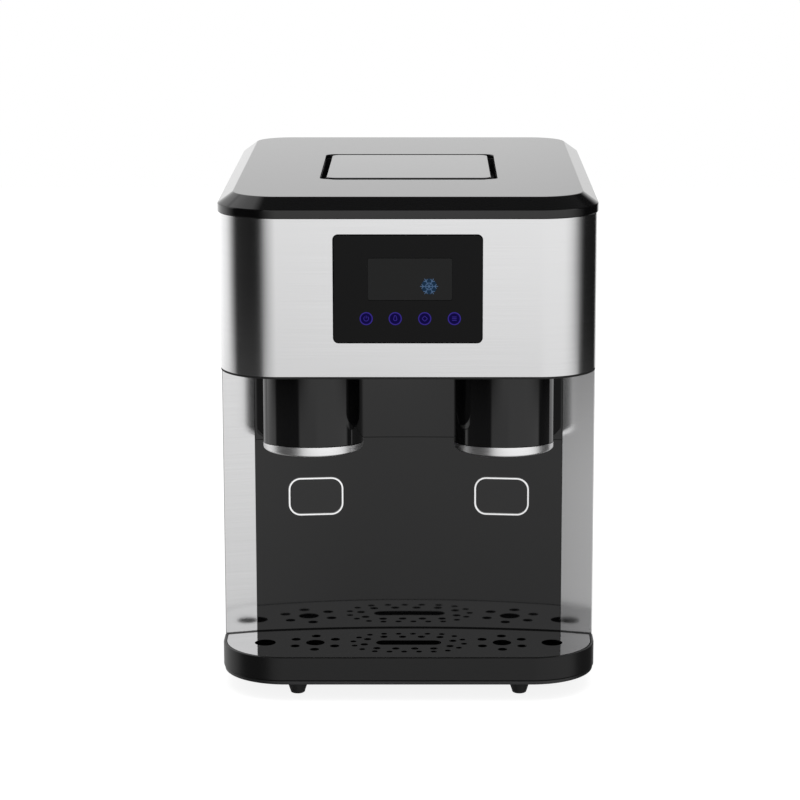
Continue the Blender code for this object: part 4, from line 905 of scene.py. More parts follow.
@dataclass
class TopCover:
    """Gloss black cover with a bevelled edge, and the refill lid in its opening."""

    radius: float = 0.051
    rear_radius: float = 0.045
    band: float = 0.007
    bevel_run: float = 0.013
    wall: float = 0.003
    edge: float = 0.0006
    side_slot: float = 0.0054
    end_gap: float = 0.001
    lid_radius: float = 0.009
    lid_top: float = 0.0025
    lid_skirt: float = 0.0022
    lid_edge: float = 0.0012
    lid_proud: float = 0.0009
    lid_sunk: float = 0.0004
    opening_edge: float = 0.0011
    corner_steps: int = 30
    opening_steps: int = 4

    def shell(self) -> BMesh:
        """The cover as a hollow shell with the opening for the lid.

        Returns:
            The closed mesh, in place.
        """
        low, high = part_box("top_cover")
        rise = high.z - low.z - self.band
        outline = Plan.over("top_cover", self.radius, self.rear_radius, self.corner_steps)
        body = outline.solid(low.z, low.z + self.band)
        slope(body, cap(body, Way.UP), self.bevel_run, (0, 0, rise))
        under = push(body, cap(body, Way.DOWN), self.wall, (0, 0, self.band - GAP))
        slope(body, under, self.bevel_run - GAP, (0, 0, rise - self.wall + GAP))
        lid_low, lid_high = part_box("refill_lid")
        opening = Plan(lid_low.x - self.side_slot, lid_high.x + self.side_slot, lid_low.y - self.end_gap,
                       lid_high.y + self.end_gap, self.lid_radius)
        body = cut_away(body, opening.solid(low.z + self.band, high.z + OVERRUN))
        mouth = opening.grown(GAP)
        soften(body, self.opening_edge, self.opening_steps, lambda edge: all(
            v.co.z > high.z - GAP and mouth.left < v.co.x < mouth.right and mouth.near < v.co.y < mouth.far
            for v in edge.verts))
        return soften(body, self.edge)

    def lid(self) -> BMesh:
        """The lift-out lid, hollow from below, a little proud in front and sunk behind.

        Returns:
            The closed mesh, in place.
        """
        low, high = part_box("refill_lid")
        body = Plan.over("refill_lid", self.lid_radius).solid(low.z, high.z + self.lid_proud)
        push(body, cap(body, Way.DOWN), self.lid_skirt, (0, 0, high.z - low.z - self.lid_top))
        fall = (self.lid_proud + self.lid_sunk) / (high.y - low.y)
        slant = Matrix.Identity(4)
        slant[2][1], slant[2][3] = -fall, fall * low.y
        upper = [v for v in body.verts if v.co.z > (low.z + high.z) / 2]
        bmesh.ops.transform(body, matrix=slant, verts=upper)
        return soften(body, self.lid_edge)

    def build(self) -> None:
        """Make the cover's pieces."""
        dress("cover_shell", self.shell(), COVER_BLACK, "top_cover")
        dress("refill_lid_plate", self.lid(), COVER_BLACK, "refill_lid", rides="refill_lid")


@dataclass
class Head:
    """The brushed steel wrap round the upper part, on a black strip that is partly a seam and partly painted
    shade under the wrap's edge.
    """

    radius: float = 0.0495
    rear_radius: float = 0.040
    flange: float = 0.012
    sheet: float = 0.0015
    window_radius: float = 0.0042
    edge: float = 0.0003
    gasket_inset: float = 0.0002
    gasket_width: float = 0.003
    gasket_height: float = 0.0017
    steps: int = 32

    def wrap(self) -> BMesh:
        """The sheet from one rear flange round the front to the other, with the panel's window.

        Returns:
            The closed mesh, in place.
        """
        low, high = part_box("head_wrap")
        turn = high.x - self.radius
        rear_turn = high.x - self.rear_radius
        strip = Strip(self.flange - rear_turn, high.y, low.z, high.z)
        strip.run(-rear_turn, high.y).bend(-rear_turn, high.y - self.rear_radius, QUARTER, self.steps)
        strip.run(low.x, low.y + self.radius).bend(-turn, low.y + self.radius, QUARTER, self.steps)
        strip.run(turn, low.y).bend(turn, low.y + self.radius, QUARTER, self.steps)
        strip.run(high.x, high.y - self.rear_radius)
        strip.bend(rear_turn, high.y - self.rear_radius, QUARTER, self.steps)
        strip.run(rear_turn - self.flange, high.y)
        body = strip.thicken(self.sheet, Way.FRONT)
        window = Plan.facing("control_fascia", self.window_radius).grown(GAP)
        tool = stand(window.solid(-low.y - OVERRUN, -low.y + OVERRUN))
        return soften(cut_away(body, tool), self.edge)

    def gasket(self) -> BMesh:
        """The black strip between the wrap and the lower part: partly a seam, partly a painted shadow line
        under the head's edge.

        Returns:
            The closed mesh, in place.
        """
        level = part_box("head_wrap")[0].z
        outline = Plan.over("head_wrap", self.radius, self.rear_radius, self.steps)
        outline = outline.grown(-self.gasket_inset)
        body = outline.solid(level - self.gasket_height, level - GAP / 2)
        hollow = outline.grown(-self.gasket_width).solid(level - OVERRUN, level + OVERRUN)
        return cut_away(body, hollow)

    def build(self) -> None:
        """Make the wrap and the black strip under it, which is partly painted shade."""
        dress("head_steel_wrap", self.wrap(), BRUSHED_STEEL, "head_wrap")
        # This black rubber strip partly stands for the shadow under the head: painted shade.
        dress("head_gasket", self.gasket(), BLACK_RUBBER)


@dataclass
class ControlPanel:
    """Gloss fascia with a smoked window, four ring signs and a snow crystal.

    Each of the marks is an open ring, as size, opening in degrees and rise, or none, and then its bars, as
    length, turn in degrees, X and rise. The crystal's arm has such bars too, with their rise in metres. All
    else is in shares of the mark's or the crystal's radius.
    """

    radius: float = 0.0042
    edge: float = 0.0009
    lens_radius: float = 0.0015
    lens_edge: float = 0.0002
    pocket: float = 0.0015
    lift: float = GAP / 20
    sign_level: float = 0.3288
    sign_places: tuple[float, ...] = (-0.0341, -0.0103, 0.0139, 0.0382)
    ring_radius: float = 0.0054
    ring_line: float = 0.0009
    stroke: float = 0.00055
    stroke_round: float = 0.49
    stroke_steps: int = 4
    film: float = 0.00006
    steps: int = 48
    mark_radius: float = 0.42
    marks: tuple[tuple[tuple[float, ...], tuple[tuple[float, ...], ...]], ...] = (
        ((1, 70, 0), ((1, 90, 0, 0.6),)),
        ((0.72, 60, -0.15), ((0.95, 62, -0.3, 0.85), (0.95, 118, 0.3, 0.85))),
        ((), ((1.35, 45, -0.5, 0.5), (1.35, 135, 0.5, 0.5), (1.35, 45, 0.5, -0.5), (1.35, 135, -0.5, -0.5))),
        ((), ((1.7, 0, 0, -0.62), (1.7, 0, 0, 0), (1.7, 0, 0, 0.62))),
    )
    crystal_place: tuple[float, float] = (0.0175, 0.3556)
    crystal_radius: float = 0.0074
    crystal_arms: int = 6
    crystal_arm: tuple[tuple[float, ...], ...] = (
        (1, 0, 0.5, 0), (0.34, 50, 0.72, 0.0009), (0.34, -50, 0.72, -0.0009),
    )
    crystal_step: float = 0.0000075
    crystal_hub: float = 0.42
    crystal_ground: float = 0.9

    def fascia(self) -> BMesh:
        """The fascia with the pocket of its window.

        Returns:
            The closed mesh, in place.
        """
        low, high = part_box("control_fascia")
        body = stand(Plan.facing("control_fascia", self.radius).solid(-high.y, -low.y))
        soften(body, self.edge, chosen=lambda edge: all(v.co.y < low.y + self.edge for v in edge.verts))
        window = Plan.facing("display_lens", self.lens_radius).grown(GAP)
        return cut_away(body, stand(window.solid(-low.y - self.pocket, -low.y + OVERRUN)))

    def lens(self) -> BMesh:
        """The smoked window.

        Returns:
            The closed mesh, in place.
        """
        low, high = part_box("display_lens")
        outline = Plan.facing("display_lens", self.lens_radius)
        return soften(stand(outline.solid(-high.y, -low.y)), self.lens_edge)

    def bar(self, length: float, turn: float, x: float, z: float) -> BMesh:
        """A printed bar with round ends.

        Args:
            length: its length.
            turn: its turn in degrees about its own middle.
            x: X of its middle.
            z: Z of its middle.

        Returns:
            The standing mesh.
        """
        outline = Plan.sized(length, self.stroke, self.stroke * self.stroke_round, self.stroke_steps)
        return moved(stand(swung(outline.solid(0, self.film), turn, "Z")), x, 0, z)

    def hoop(self, radius: float, line: float, opening: float = 0.0) -> BMesh:
        """A printed ring about the origin.

        Args:
            radius: its outer radius.
            line: width of its line.
            opening: angle in degrees that is left open at its top.

        Returns:
            The standing mesh.
        """
        body = bmesh.new()
        ends = [body.verts.new((0, height, 0)) for height in (radius - line, radius)]
        edge = body.edges.new(ends)
        swung(body, opening / 2, "Z")
        bmesh.ops.spin(body, geom=[*ends, edge], cent=ORIGIN, axis=(0, 0, 1), steps=self.steps,
                       angle=math.tau - math.radians(opening), use_merge=not opening)
        bmesh.ops.remove_doubles(body, verts=body.verts, dist=WELD)
        return stand(extruded(body, 0, self.film))

    def spot(self, radius: float, steps: int) -> BMesh:
        """A printed spot about the origin."""
        return stand(disc(radius, 0, self.film, steps))

    def glyph(self, index: int) -> list[BMesh]:
        """The generic mark inside one of the ring signs.

        Args:
            index: number of the sign, from the left.

        Returns:
            The strokes of the mark, about the origin.
        """
        reach = self.ring_radius * self.mark_radius
        ring, bars = self.marks[index]
        strokes = []
        if ring:
            size, opening, rise = ring
            strokes.append(moved(self.hoop(reach * size, self.stroke, opening), z=reach * rise))
        for length, turn, x, rise in bars:
            strokes.append(self.bar(reach * length, turn, reach * x, reach * rise))
        return strokes

    def crystal(self) -> BMesh:
        """A six-armed snow crystal of plain strokes.

        Returns:
            The standing mesh, about the origin.
        """
        strokes = []
        for index in range(self.crystal_arms):
            for level, (length, turn, x, rise) in enumerate(self.crystal_arm):
                stroke = self.bar(self.crystal_radius * length, turn, self.crystal_radius * x, rise)
                swung(stroke, 2 * HALF_TURN / self.crystal_arms * index, "Y")
                strokes.append(moved(stroke, y=-self.crystal_step * level))
        strokes.append(self.hoop(self.crystal_radius * self.crystal_hub, self.stroke))
        return joined(strokes)

    def build(self) -> None:
        """Make the panel's pieces."""
        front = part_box("control_fascia")[0].y - self.lift
        dress("panel_fascia", self.fascia(), FASCIA_BLACK, "control_fascia")
        dress("panel_window", self.lens(), SMOKED_WINDOW, "display_lens")
        for index, place in enumerate(self.sign_places):
            spot = moved(self.spot(self.ring_radius, self.steps), place, front, self.sign_level)
            dress(f"sign_ground_{index}", spot, SIGN_DARK)
            ring = joined([self.hoop(self.ring_radius, self.ring_line), *self.glyph(index)])
            dress(f"sign_{index}", moved(ring, place, front - self.film, self.sign_level), SIGN_VIOLET)
        x, z = self.crystal_place
        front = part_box("display_lens")[0].y - self.lift
        ground = self.spot(self.crystal_radius * self.crystal_ground, self.crystal_arms)
        dress("crystal_ground", moved(ground, x, front, z), SIGN_DEEP)
        dress("sign_crystal", moved(self.crystal(), x, front - self.film, z), SIGN_BLUE)


@dataclass
class Bay:
    """Concave gloss wall between the two steel columns, with its push pads."""

    arc: BayArc = field(default_factory=BayArc)
    wall: float = 0.0025
    edge: float = 0.0002
    steps: int = 96
    pad_place: float = 0.080
    pad_level: float = 0.1571
    pad_width: float = 0.0475
    pad_height: float = 0.0336
    pad_radius: float = 0.0105
    trim_line: float = 0.0017
    trim_proud: float = 0.0004
    trim_edge: float = 0.0005
    pad_depth: float = 0.003
    pad_edge: float = 0.0007
    pad_steps: int = 10

    def panel(self, node: str) -> BMesh:
        """One part of the wall, bent on the bay's arc.

        Args:
            node: the node of that part.

        Returns:
            The closed mesh, in place.
        """
        low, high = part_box(node)
        reach = self.arc.reach
        strip = Strip(-reach, self.arc.y_at(reach), low.z, high.z)
        sweep = self.arc.angle_at(reach) - self.arc.angle_at(-reach)
        strip.bend(0, self.arc.centre_y, sweep, self.steps)
        return strip.thicken(self.wall, Way.FRONT)

    def pad_plan(self, margin: float) -> Plan:
        """Outline of a pad and its trim, drawn in by a margin."""
        outline = Plan.sized(self.pad_width, self.pad_height, self.pad_radius, self.pad_steps)
        return outline.grown(-margin)

    def on_wall(self, body: BMesh, side: Side) -> BMesh:
        """Put a standing mesh made about the origin on its place on the wall.

        Args:
            body: the mesh.
            side: which pad's place.

        Returns:
            The same mesh.
        """
        frame = self.arc.frame_at(side.value * self.pad_place, self.pad_level)
        bmesh.ops.transform(body, matrix=frame, verts=body.verts)
        return body

    def build(self) -> None:
        """Make the wall, the pads and their trims."""
        lower = self.panel("bay_panel_lower")
        for side in Side:
            hole = stand(self.pad_plan(-GAP).solid(-self.wall - OVERRUN, OVERRUN))
            lower = cut_away(lower, self.on_wall(hole, side))
        dress("bay_wall_lower", soften(lower, self.edge), BLACK_LACQUER, "bay_panel_lower")
        upper = soften(self.panel("bay_panel_upper"), self.edge)
        dress("bay_wall_upper", upper, BLACK_LACQUER, "bay_panel_upper")
        for side in Side:
            trim = stand(self.pad_plan(0).solid(-self.wall, self.trim_proud))
            hole = stand(self.pad_plan(self.trim_line).solid(-self.wall - OVERRUN, OVERRUN))
            trim = self.on_wall(soften(cut_away(trim, hole), self.trim_edge), side)
            # The outlines use the trim metal whose glow is a painted highlight.
            dress(f"pad_outline_{side.word}", trim, CHROME_PAINTED_GLOW, f"pad_trim_{side.word}")
            pad = stand(self.pad_plan(self.trim_line + GAP).solid(-self.pad_depth, 0))
            pad = self.on_wall(soften(pad, self.pad_edge), side)
            node = f"push_pad_{side.word}"
            # The pads' lighter base colour is painted reflection.
            dress(f"pad_face_{side.word}", pad, PAD_BLACK_PAINTED_REFLECTION, node, rides=node)


@dataclass
class Sides:
    """Two steel sides, each folded round its front column."""

    arc: BayArc = field(default_factory=BayArc)
    rear_radius: float = 0.040
    flange: float = 0.012
    sheet: float = 0.0015
    fold: float = 0.010
    column_corner: float = 0.0008
    corner_steps: int = 6
    # The sides stop this far below the head, which leaves room for the black strip that is partly painted
    # shade.
    headroom: float = 0.0017
    edge: float = 0.0004

    def panel(self) -> BMesh:
        """The right side, from its rear flange to the fold behind the bay wall.

        Returns:
            The closed mesh, in place.
        """
        low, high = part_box("side_panel_right")
        inner = self.arc.reach + GAP
        turn = high.x - self.rear_radius
        strip = Strip(turn - self.flange, high.y, low.z, high.z - self.headroom)
        strip.run(turn, high.y).bend(turn, high.y - self.rear_radius, -QUARTER)
        strip.run(high.x, self.arc.y_at(high.x))
        corner = strip.edge
        strip.run(inner, self.arc.y_at(inner)).run(inner, self.arc.y_at(inner) + self.fold)
        rounded(strip.body, [corner], self.column_corner, self.corner_steps)
        return soften(strip.thicken(self.sheet, Way.RIGHT), self.edge)

    def build(self) -> None:
        """Make both sides."""
        for side in Side:
            node = f"side_panel_{side.word}"
            dress(f"side_steel_{side.word}", mirrored(self.panel(), side), BRUSHED_STEEL, node)


@dataclass
class Spouts:
    """Two round gloss spouts with metal rings at their mouths."""

    arc: BayArc = field(default_factory=BayArc)
    radius: float = 0.0422
    outward: float = 0.0008
    depth: float = 0.058
    wall: float = 0.003
    ring_wall: float = 0.0045
    ring_side: float = 0.0046
    ring_rise: float = 0.0038
    lip: float = 0.0025
    lip_steps: int = 5
    edge: float = 0.0004
    steps: int = 64

    def path(self, middle: float, low: float, high: float) -> Strip:
        """A round front whose ends run straight back to the bay wall.

        Args:
            middle: X of the spout's axis.
            low: lower level.
            high: upper level.

        Returns:
            The sheet.
        """
        y = at_depth(self.depth)
        left, right = middle - self.radius, middle + self.radius
        strip = Strip(left, self.arc.y_at(left) - GAP, low, high)
        strip.run(left, y).bend(middle, y, HALF_TURN, self.steps)
        return strip.run(right, self.arc.y_at(right) - GAP)

    def build(self) -> None:
        """Make both shells and both rings."""
        y = at_depth(self.depth)
        slant = self.ring_rise / self.radius
        for side in Side:
            shell_node = f"spout_shell_{side.word}"
            ring_node = f"spout_ring_{side.word}"
            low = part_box(ring_node)[0]
            middle = centre(ring_node)[0] + side.value * self.outward
            joint = low.z + self.ring_side
            shell = self.path(middle, joint + GAP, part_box(shell_node)[1].z).shear(False, slant, y)
            shell = soften(shell.thicken(self.wall, Way.FRONT), self.edge)
            dress(f"spout_{side.word}", shell, BLACK_LACQUER, shell_node)
            ring = self.path(middle, low.z, joint).shear(True, slant, y).thicken(self.ring_wall, Way.FRONT)
            reach = self.radius - GAP
            soften(ring, self.lip, self.lip_steps, lambda edge: all(
                v.co.z < low.z + GAP and math.hypot(v.co.x - middle, min(0.0, v.co.y - y)) > reach
                for v in edge.verts))
            dress(f"spout_mouth_{side.word}", soften(ring, self.edge), RING_METAL, ring_node)


@dataclass
class DripTray:
    """Gloss tray and the perforated steel plate in its rebate.

    An end hole has its place and its radius, the group ring its radius, its holes' radius and their number,
    the slot its length and width, and a slot ring its distance from the slot's middle line, the number of its
    holes and their radius.
    """

    arc: BayArc = field(default_factory=BayArc)
    radius: float = 0.054
    rim: float = 0.003
    ledge: float = 0.0035
    floor: float = 0.0025
    plate: float = 0.001
    plate_sheet: float = 0.0006
    spread: float = 0.001
    edge: float = 0.0007
    pattern_depth: float = 0.046
    group_place: float = 0.080
    end_hole: tuple[float, float] = (0.1229, 0.009)
    group_hole: float = 0.008
    group_ring: tuple[float, float, int] = (0.0195, 0.004, 6)
    slot: tuple[float, float] = (0.056, 0.013)
    slot_round: float = 0.499
    slot_rings: tuple[tuple[float, int, float], ...] = ((0.0172, 12, 0.0032), (0.0262, 20, 0.0026))
    slot_straight: float = 0.043
    corner_steps: int = 28
    rear_cuts: int = 47
    large_steps: int = 40
    middle_steps: int = 32
    small_steps: int = 24
    slot_steps: int = 16

    def outline(self, margin: float) -> BMesh:
        """One flat face with round front corners, whose rear edge follows the bay wall.

        Args:
            margin: how far the outline is drawn in.

        Returns:
            The mesh, at level zero.
        """
        low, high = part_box("drip_tray")
        half = high.x + self.spread - margin
        rear = self.arc.y_at(half)
        body = rectangle(-half, half, low.y + margin, rear)
        front = [v for v in body.verts if v.co.y < rear - WELD]
        rounded(body, front, self.radius - margin, self.corner_steps, "VERTICES")
        back = [e for e in body.edges if all(v.co.y > rear - WELD for v in e.verts)]
        bmesh.ops.subdivide_edges(body, edges=back, cuts=self.rear_cuts)
        for vert in body.verts:
            if vert.co.y > rear - WELD:
                vert.co.y = self.arc.y_at(vert.co.x) - GAP - margin
        return body

    def tray(self) -> BMesh:
        """The tray with its rebate and basin.

        Returns:
            The closed mesh, in place.
        """
        low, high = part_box("drip_tray")
        body = extruded(self.outline(0), low.z, high.z)
        rebate = push(body, cap(body, Way.UP), self.rim - GAP, (0, 0, -self.plate - GAP))
        push(body, rebate, self.ledge, (0, 0, self.floor + self.plate + GAP - (high.z - low.z)))
        return soften(body, self.edge)

    def around_slot(self, radius: float, count: int) -> list[tuple[float, float]]:
        """Evenly spaced places round the slot, on two straights and two half rounds.

        Args:
            radius: distance from the slot's middle line.
            count: number of places.

        Returns:
            Offsets from the middle of the slot.
        """
        half = self.slot_straight / 2
        bend = math.pi * radius
        total = 2 * self.slot_straight + 2 * bend
        places = []
        for index in range(count):
            run = total * index / count
            flip = 1 if run < total / 2 else -1
            run -= 0 if flip > 0 else total / 2
            angle = min(run, bend) / radius - math.pi / 2
            x = half + radius * math.cos(angle) - max(0.0, run - bend)
            places.append((flip * x, flip * radius * math.sin(angle)))
        return places

    def round_hole(self, x: float, y: float, radius: float, steps: int) -> BMesh:
        """Tool for one round hole through the plate.

        Args:
            x: X of its middle.
            y: Y of its middle.
            radius: its radius.
            steps: number of facets round it.

        Returns:
            The closed mesh, in place.
        """
        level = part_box("drip_grate")[1].z
        return moved(disc(radius, level - self.plate - OVERRUN, level + OVERRUN, steps), x, y)

    def grate(self) -> BMesh:
        """The plate with its three groups of holes and two end holes.

        Returns:
            The closed mesh, in place.
        """
        low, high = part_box("drip_grate")
        y = at_depth(self.pattern_depth)
        tools = []
        end, end_radius = self.end_hole
        ring, small, count = self.group_ring
        for side in Side:
            middle = side.value * self.group_place
            tools.append(self.round_hole(side.value * end, y, end_radius, self.large_steps))
            tools.append(self.round_hole(middle, y, self.group_hole, self.large_steps))
            for index in range(count):
                turn = math.radians(QUARTER) + math.tau * index / count
                x = middle + ring * math.cos(turn)
                tools.append(self.round_hole(x, y + ring * math.sin(turn), small, self.middle_steps))
        length, width = self.slot
        slot = Plan.sized(length, width, width * self.slot_round, self.slot_steps)
        tools.append(moved(slot.solid(low.z - OVERRUN, high.z + OVERRUN), 0, y))
        for radius, count, size in self.slot_rings:
            places = self.around_slot(radius, count)
            tools += [self.round_hole(x, y + across, size, self.small_steps) for x, across in places]
        return cut_away(extruded(self.outline(self.rim), high.z - self.plate_sheet, high.z), joined(tools))

    def build(self) -> None:
        """Make the tray and the plate."""
        dress("tray_body", self.tray(), TRAY_BLACK, "drip_tray", rides="drip_tray")
        dress("tray_plate", self.grate(), PLATE_STEEL, "drip_grate", rides="drip_grate")


@dataclass
class Underside:
    """The shelf under the tray and the housing, and its four feet."""

    front_radius: float = 0.054
    rear_radius: float = 0.040
    edge: float = 0.0007
    foot_top: float = 0.0104
    foot_tip: float = 0.0062
    tip_fillet: float = 0.0015
    fillet_steps: int = 4
    collar_share: float = 0.16
    neck_share: float = 0.3
    slope_share: float = 0.8
    corner_steps: int = 28

    def foot(self, node: str) -> BMesh:
        """A tapered foot with a rounded tip and a collar at its root.

        Args:
            node: the node whose place it takes.

        Returns:
            The closed mesh, in place.
        """
        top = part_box(node)[1].z
        collar = top * self.collar_share
        flat = self.foot_tip - self.tip_fillet
        profile = [(0, 0), (flat, 0)]
        for index in range(1, self.fillet_steps + 1):
            turn = math.radians(QUARTER * index / self.fillet_steps)
            profile.append((flat + self.tip_fillet * math.sin(turn), self.tip_fillet * (1 - math.cos(turn))))
        profile += [(self.foot_top - collar * self.neck_share, top - collar),
                    (self.foot_top, top - collar * self.slope_share), (self.foot_top, top), (0, top)]
        x, y, _ = centre(node)
        return moved(turned(profile), x, y)

    def build(self) -> None:
        """Make the shelf and the feet."""
        low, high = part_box("base_pan")
        outline = Plan.over("base_pan", self.front_radius, self.rear_radius, self.corner_steps)
        dress("base_shelf", soften(outline.solid(low.z, high.z), self.edge), BLACK_SATIN, "base_pan")
        for row in ("front", "rear"):
            for side in Side:
                node = f"foot_{row}_{side.word}"
                dress(f"rubber_{node}", self.foot(node), BLACK_RUBBER, node)


@dataclass
class Rear:
    """Louvred rear panel with its screws, and with holes for the mains inlet and the drain.

    A group of louvres has its X, its level and their number. A slot, the inlet's hole and a bar of the screws'
    cross have their length and width.
    """

    corner: float = 0.003
    edge: float = 0.0003
    edge_segments: int = 2
    slot: tuple[float, float] = (0.100, 0.004)
    slot_round: float = 0.4
    slot_steps: int = 4
    pitch: float = 0.010
    louvre_groups: tuple[tuple[float, float, int], ...] = ((0.052, 0.0833, 11), (-0.052, 0.230, 7))
    hood_depth: float = 0.0032
    hood_height: float = 0.0052
    hood_sheet: float = 0.0007
    hood_steps: int = 8
    inlet_hole: tuple[float, float] = (0.0281, 0.0206)
    inlet_radius: float = 0.003
    drain_radius: float = 0.0093
    drain_steps: int = 40
    screw_radius: float = 0.004
    screw_height: float = 0.0018
    screw_steps: int = 32
    shank: float = 0.0016
    dome_step: int = 18
    cross: tuple[float, float] = (0.0044, 0.0009)
    cross_round: float = 0.2
    cross_steps: int = 2
    cross_floor: float = 0.35

    def hood(self, x: float, z: float, y: float) -> BMesh:
        """A pressed hood over one louvre, open at its lower side.

        Args:
            x: middle of the louvre.
            z: level of the louvre.
            y: outer face of the panel.

        Returns:
            The closed mesh, in place.
        """
        body = bmesh.new()
        half = self.slot[0] / 2
        ends = [body.verts.new((side.value * half, 0, self.hood_height)) for side in Side]
        edge = body.edges.new(ends)
        bmesh.ops.spin(body, geom=[*ends, edge], cent=ORIGIN, axis=(1, 0, 0), steps=self.hood_steps,
                       angle=-math.radians(QUARTER))
        bmesh.ops.scale(body, vec=(1, self.hood_depth / self.hood_height, 1), verts=body.verts)
        for side in Side:
            rim = [v for v in body.verts if v.co.x * side.value > 0]
            corner = body.verts.new((side.value * half, 0, 0))
            rim.append(corner)
            body.faces.new(sorted(rim, key=lambda v: -1.0 if v is corner else math.atan2(v.co.z, v.co.y)))
        bmesh.ops.recalc_face_normals(body, faces=body.faces[:])
        probe = max(body.faces, key=lambda face: face.calc_center_median().y)
        if probe.normal.y < 0:
            bmesh.ops.reverse_faces(body, faces=body.faces[:])
        bmesh.ops.solidify(body, geom=body.faces[:], thickness=self.hood_sheet)
        return moved(body, x, y, z - self.slot[1] / 2)

    def panel(self) -> BMesh:
        """The panel with its slots and holes, and a hood over each slot.

        Returns:
            The closed meshes as one, in place.
        """
        low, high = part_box("rear_panel")
        through = (-high.y - OVERRUN, -low.y + OVERRUN)
        body = stand(Plan.facing("rear_panel", self.corner).solid(-high.y, -low.y))
        louvre = Plan.sized(*self.slot, self.slot[1] * self.slot_round, self.slot_steps)
        tools, hoods = [], []
        for x, level, count in self.louvre_groups:
            for index in range(count):
                z = level + self.pitch * (index - (count - 1) / 2)
                tools.append(moved(stand(louvre.solid(*through)), x, 0, z))
                hoods.append(self.hood(x, z, high.y))
        inlet = Plan.sized(*self.inlet_hole, self.inlet_radius, self.slot_steps).solid(*through)
        drain = disc(self.drain_radius, *through, self.drain_steps)
        for hole, node in ((inlet, "power_inlet"), (drain, "drain_port")):
            x, _, z = centre(node)
            tools.append(moved(stand(hole), x, 0, z))
        body = soften(cut_away(body, joined(tools)), self.edge, self.edge_segments)
        return joined([body, *hoods])

    def screw(self, node: str) -> BMesh:
        """A domed screw head with a cross recess.

        Args:
            node: the node whose place it takes.

        Returns:
            The closed mesh, in place.
        """
        low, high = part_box(node)
        seat = high.y - self.screw_height
        profile = [(0, low.y - seat), (self.shank, low.y - seat), (self.shank, 0), (self.screw_radius, 0)]
        for degrees in range(self.dome_step, QUARTER, self.dome_step):
            turn = math.radians(degrees)
            profile.append((self.screw_radius * math.cos(turn), self.screw_height * math.sin(turn)))
        body = turned([*profile, (0, self.screw_height)], self.screw_steps)
        length, width = self.cross
        for size in ((length, width), (width, length)):
            bar = Plan.sized(*size, width * self.cross_round, self.cross_steps)
            body = cut_away(body, bar.solid(self.screw_height * self.cross_floor, OVERRUN))
        x, _, z = centre(node)
        return moved(swung(stand(body), HALF_TURN, "Z"), x, seat, z)

    def build(self) -> None:
        """Make the rear pieces."""
        dress("rear_louvre_panel", self.panel(), PAINTED_BLACK, "rear_panel")
        for name in ("low_left", "top_left", "low_right", "top_right"):
            node = f"rear_screw_{name}"
            dress(f"cross_{node}", self.screw(node), SCREW_STEEL, node)


@dataclass
class Insides:
    """Nodes that keep their own shape and get a finish, with their edges rounded."""

    edge: float = 0.0004
    segments: int = 2
    finishes: dict[str, Finish] = field(default_factory=lambda: {
        "head_deck": BLACK_SATIN, "filler_well": BLACK_SATIN, "control_board": BOARD_GREEN,
        "pad_switch_left": BLACK_SATIN, "pad_switch_right": BLACK_SATIN, "water_tank": CLEAR_PLASTIC,
        "water_pump": BLACK_SATIN, "water_hose": CLEAR_PLASTIC, "water_nozzle": WHITE_PLASTIC,
        "ice_bin": WHITE_PLASTIC, "ice_chute": WHITE_PLASTIC, "chute_flap": WHITE_PLASTIC,
        # The flap pin gets the trim metal whose glow is a painted highlight.
        "flap_pin": CHROME_PAINTED_GLOW, "flap_solenoid": ALUMINIUM, "auger": TUBE_STEEL, "freezing_barrel": TUBE_STEEL,
        "auger_motor": ALUMINIUM, "ice_outlet": WHITE_PLASTIC, "compressor": PAINTED_BLACK,
        "condenser": ALUMINIUM, "discharge_pipe": COPPER, "suction_pipe": COPPER, "fan_frame": BLACK_SATIN,
        "fan_rotor": BLACK_SATIN, "power_box": BLACK_SATIN, "power_inlet": BLACK_SATIN,
        "drain_port": BLACK_SATIN, "drain_plug": BLACK_RUBBER,
    })

    def build(self, nodes: dict[str, bpy.types.Object]) -> None:
        """Dress the nodes.

        Args:
            nodes: the frame's nodes by name.
        """
        for name, finish in self.finishes.items():
            item = nodes[name]
            if not item.material_slots:
                item.data.materials.append(None)
            for place in item.material_slots:
                place.material = finish.material()
            weld = item.modifiers.new("weld", "WELD")
            weld.merge_threshold = WELD
            bevel = item.modifiers.new("edges", "BEVEL")
            bevel.width = self.edge
            bevel.segments = self.segments
            bevel.limit_method = "ANGLE"
            bevel.angle_limit = CREASE
            LOG.info("node %s: %s", name, finish.name)


@dataclass(frozen=True)
class LightRing:
    """Soft boxes all round at one height, which only reflections see.

    Args:
        climbs: pairs of degrees above the horizon and light level.
        turns: pairs of degrees from the front, left negative, and share of that level.
    """

    climbs: tuple[tuple[float, float], ...]
    turns: tuple[tuple[float, float], ...]


LOW_RING = LightRing(
    ((-90, 0.3), (-40, 0.35), (-28, 0.7), (-22, 0.78), (-18, 0.62), (-16, 0.64), (-13, 0.78), (-12.3, 0.8),
     (-11.5, 0)),
    ((-180, 1), (-96, 1), (-91, 0.13), (-32.2, 0.13), (-27.6, 1), (5, 1), (15, 1.15), (84, 1.15), (90, 0.1),
     (152, 0.1), (158, 1), (180, 1)),
)
HEAD_RING = LightRing(
    ((-12.3, 0), (-11.5, 0.9), (-9, 1.02), (-7, 1.04), (-5.5, 0)),
    ((-180, 1.25), (-142, 1.22), (-121, 1.04), (-113, 0.88), (-99, 0.3), (-93, 0.11), (-88, 0.02),
     (-45, 0.005), (-36, 0.03), (-29, 0.17), (-14, 0.67), (-6, 0.88), (0, 1), (52, 1), (63, 0.85),
     (70, 0.7), (78, 0.45), (86, 0.25), (95, 0.06), (102, 0.01), (150, 0.01), (160, 1), (180, 1)),
)
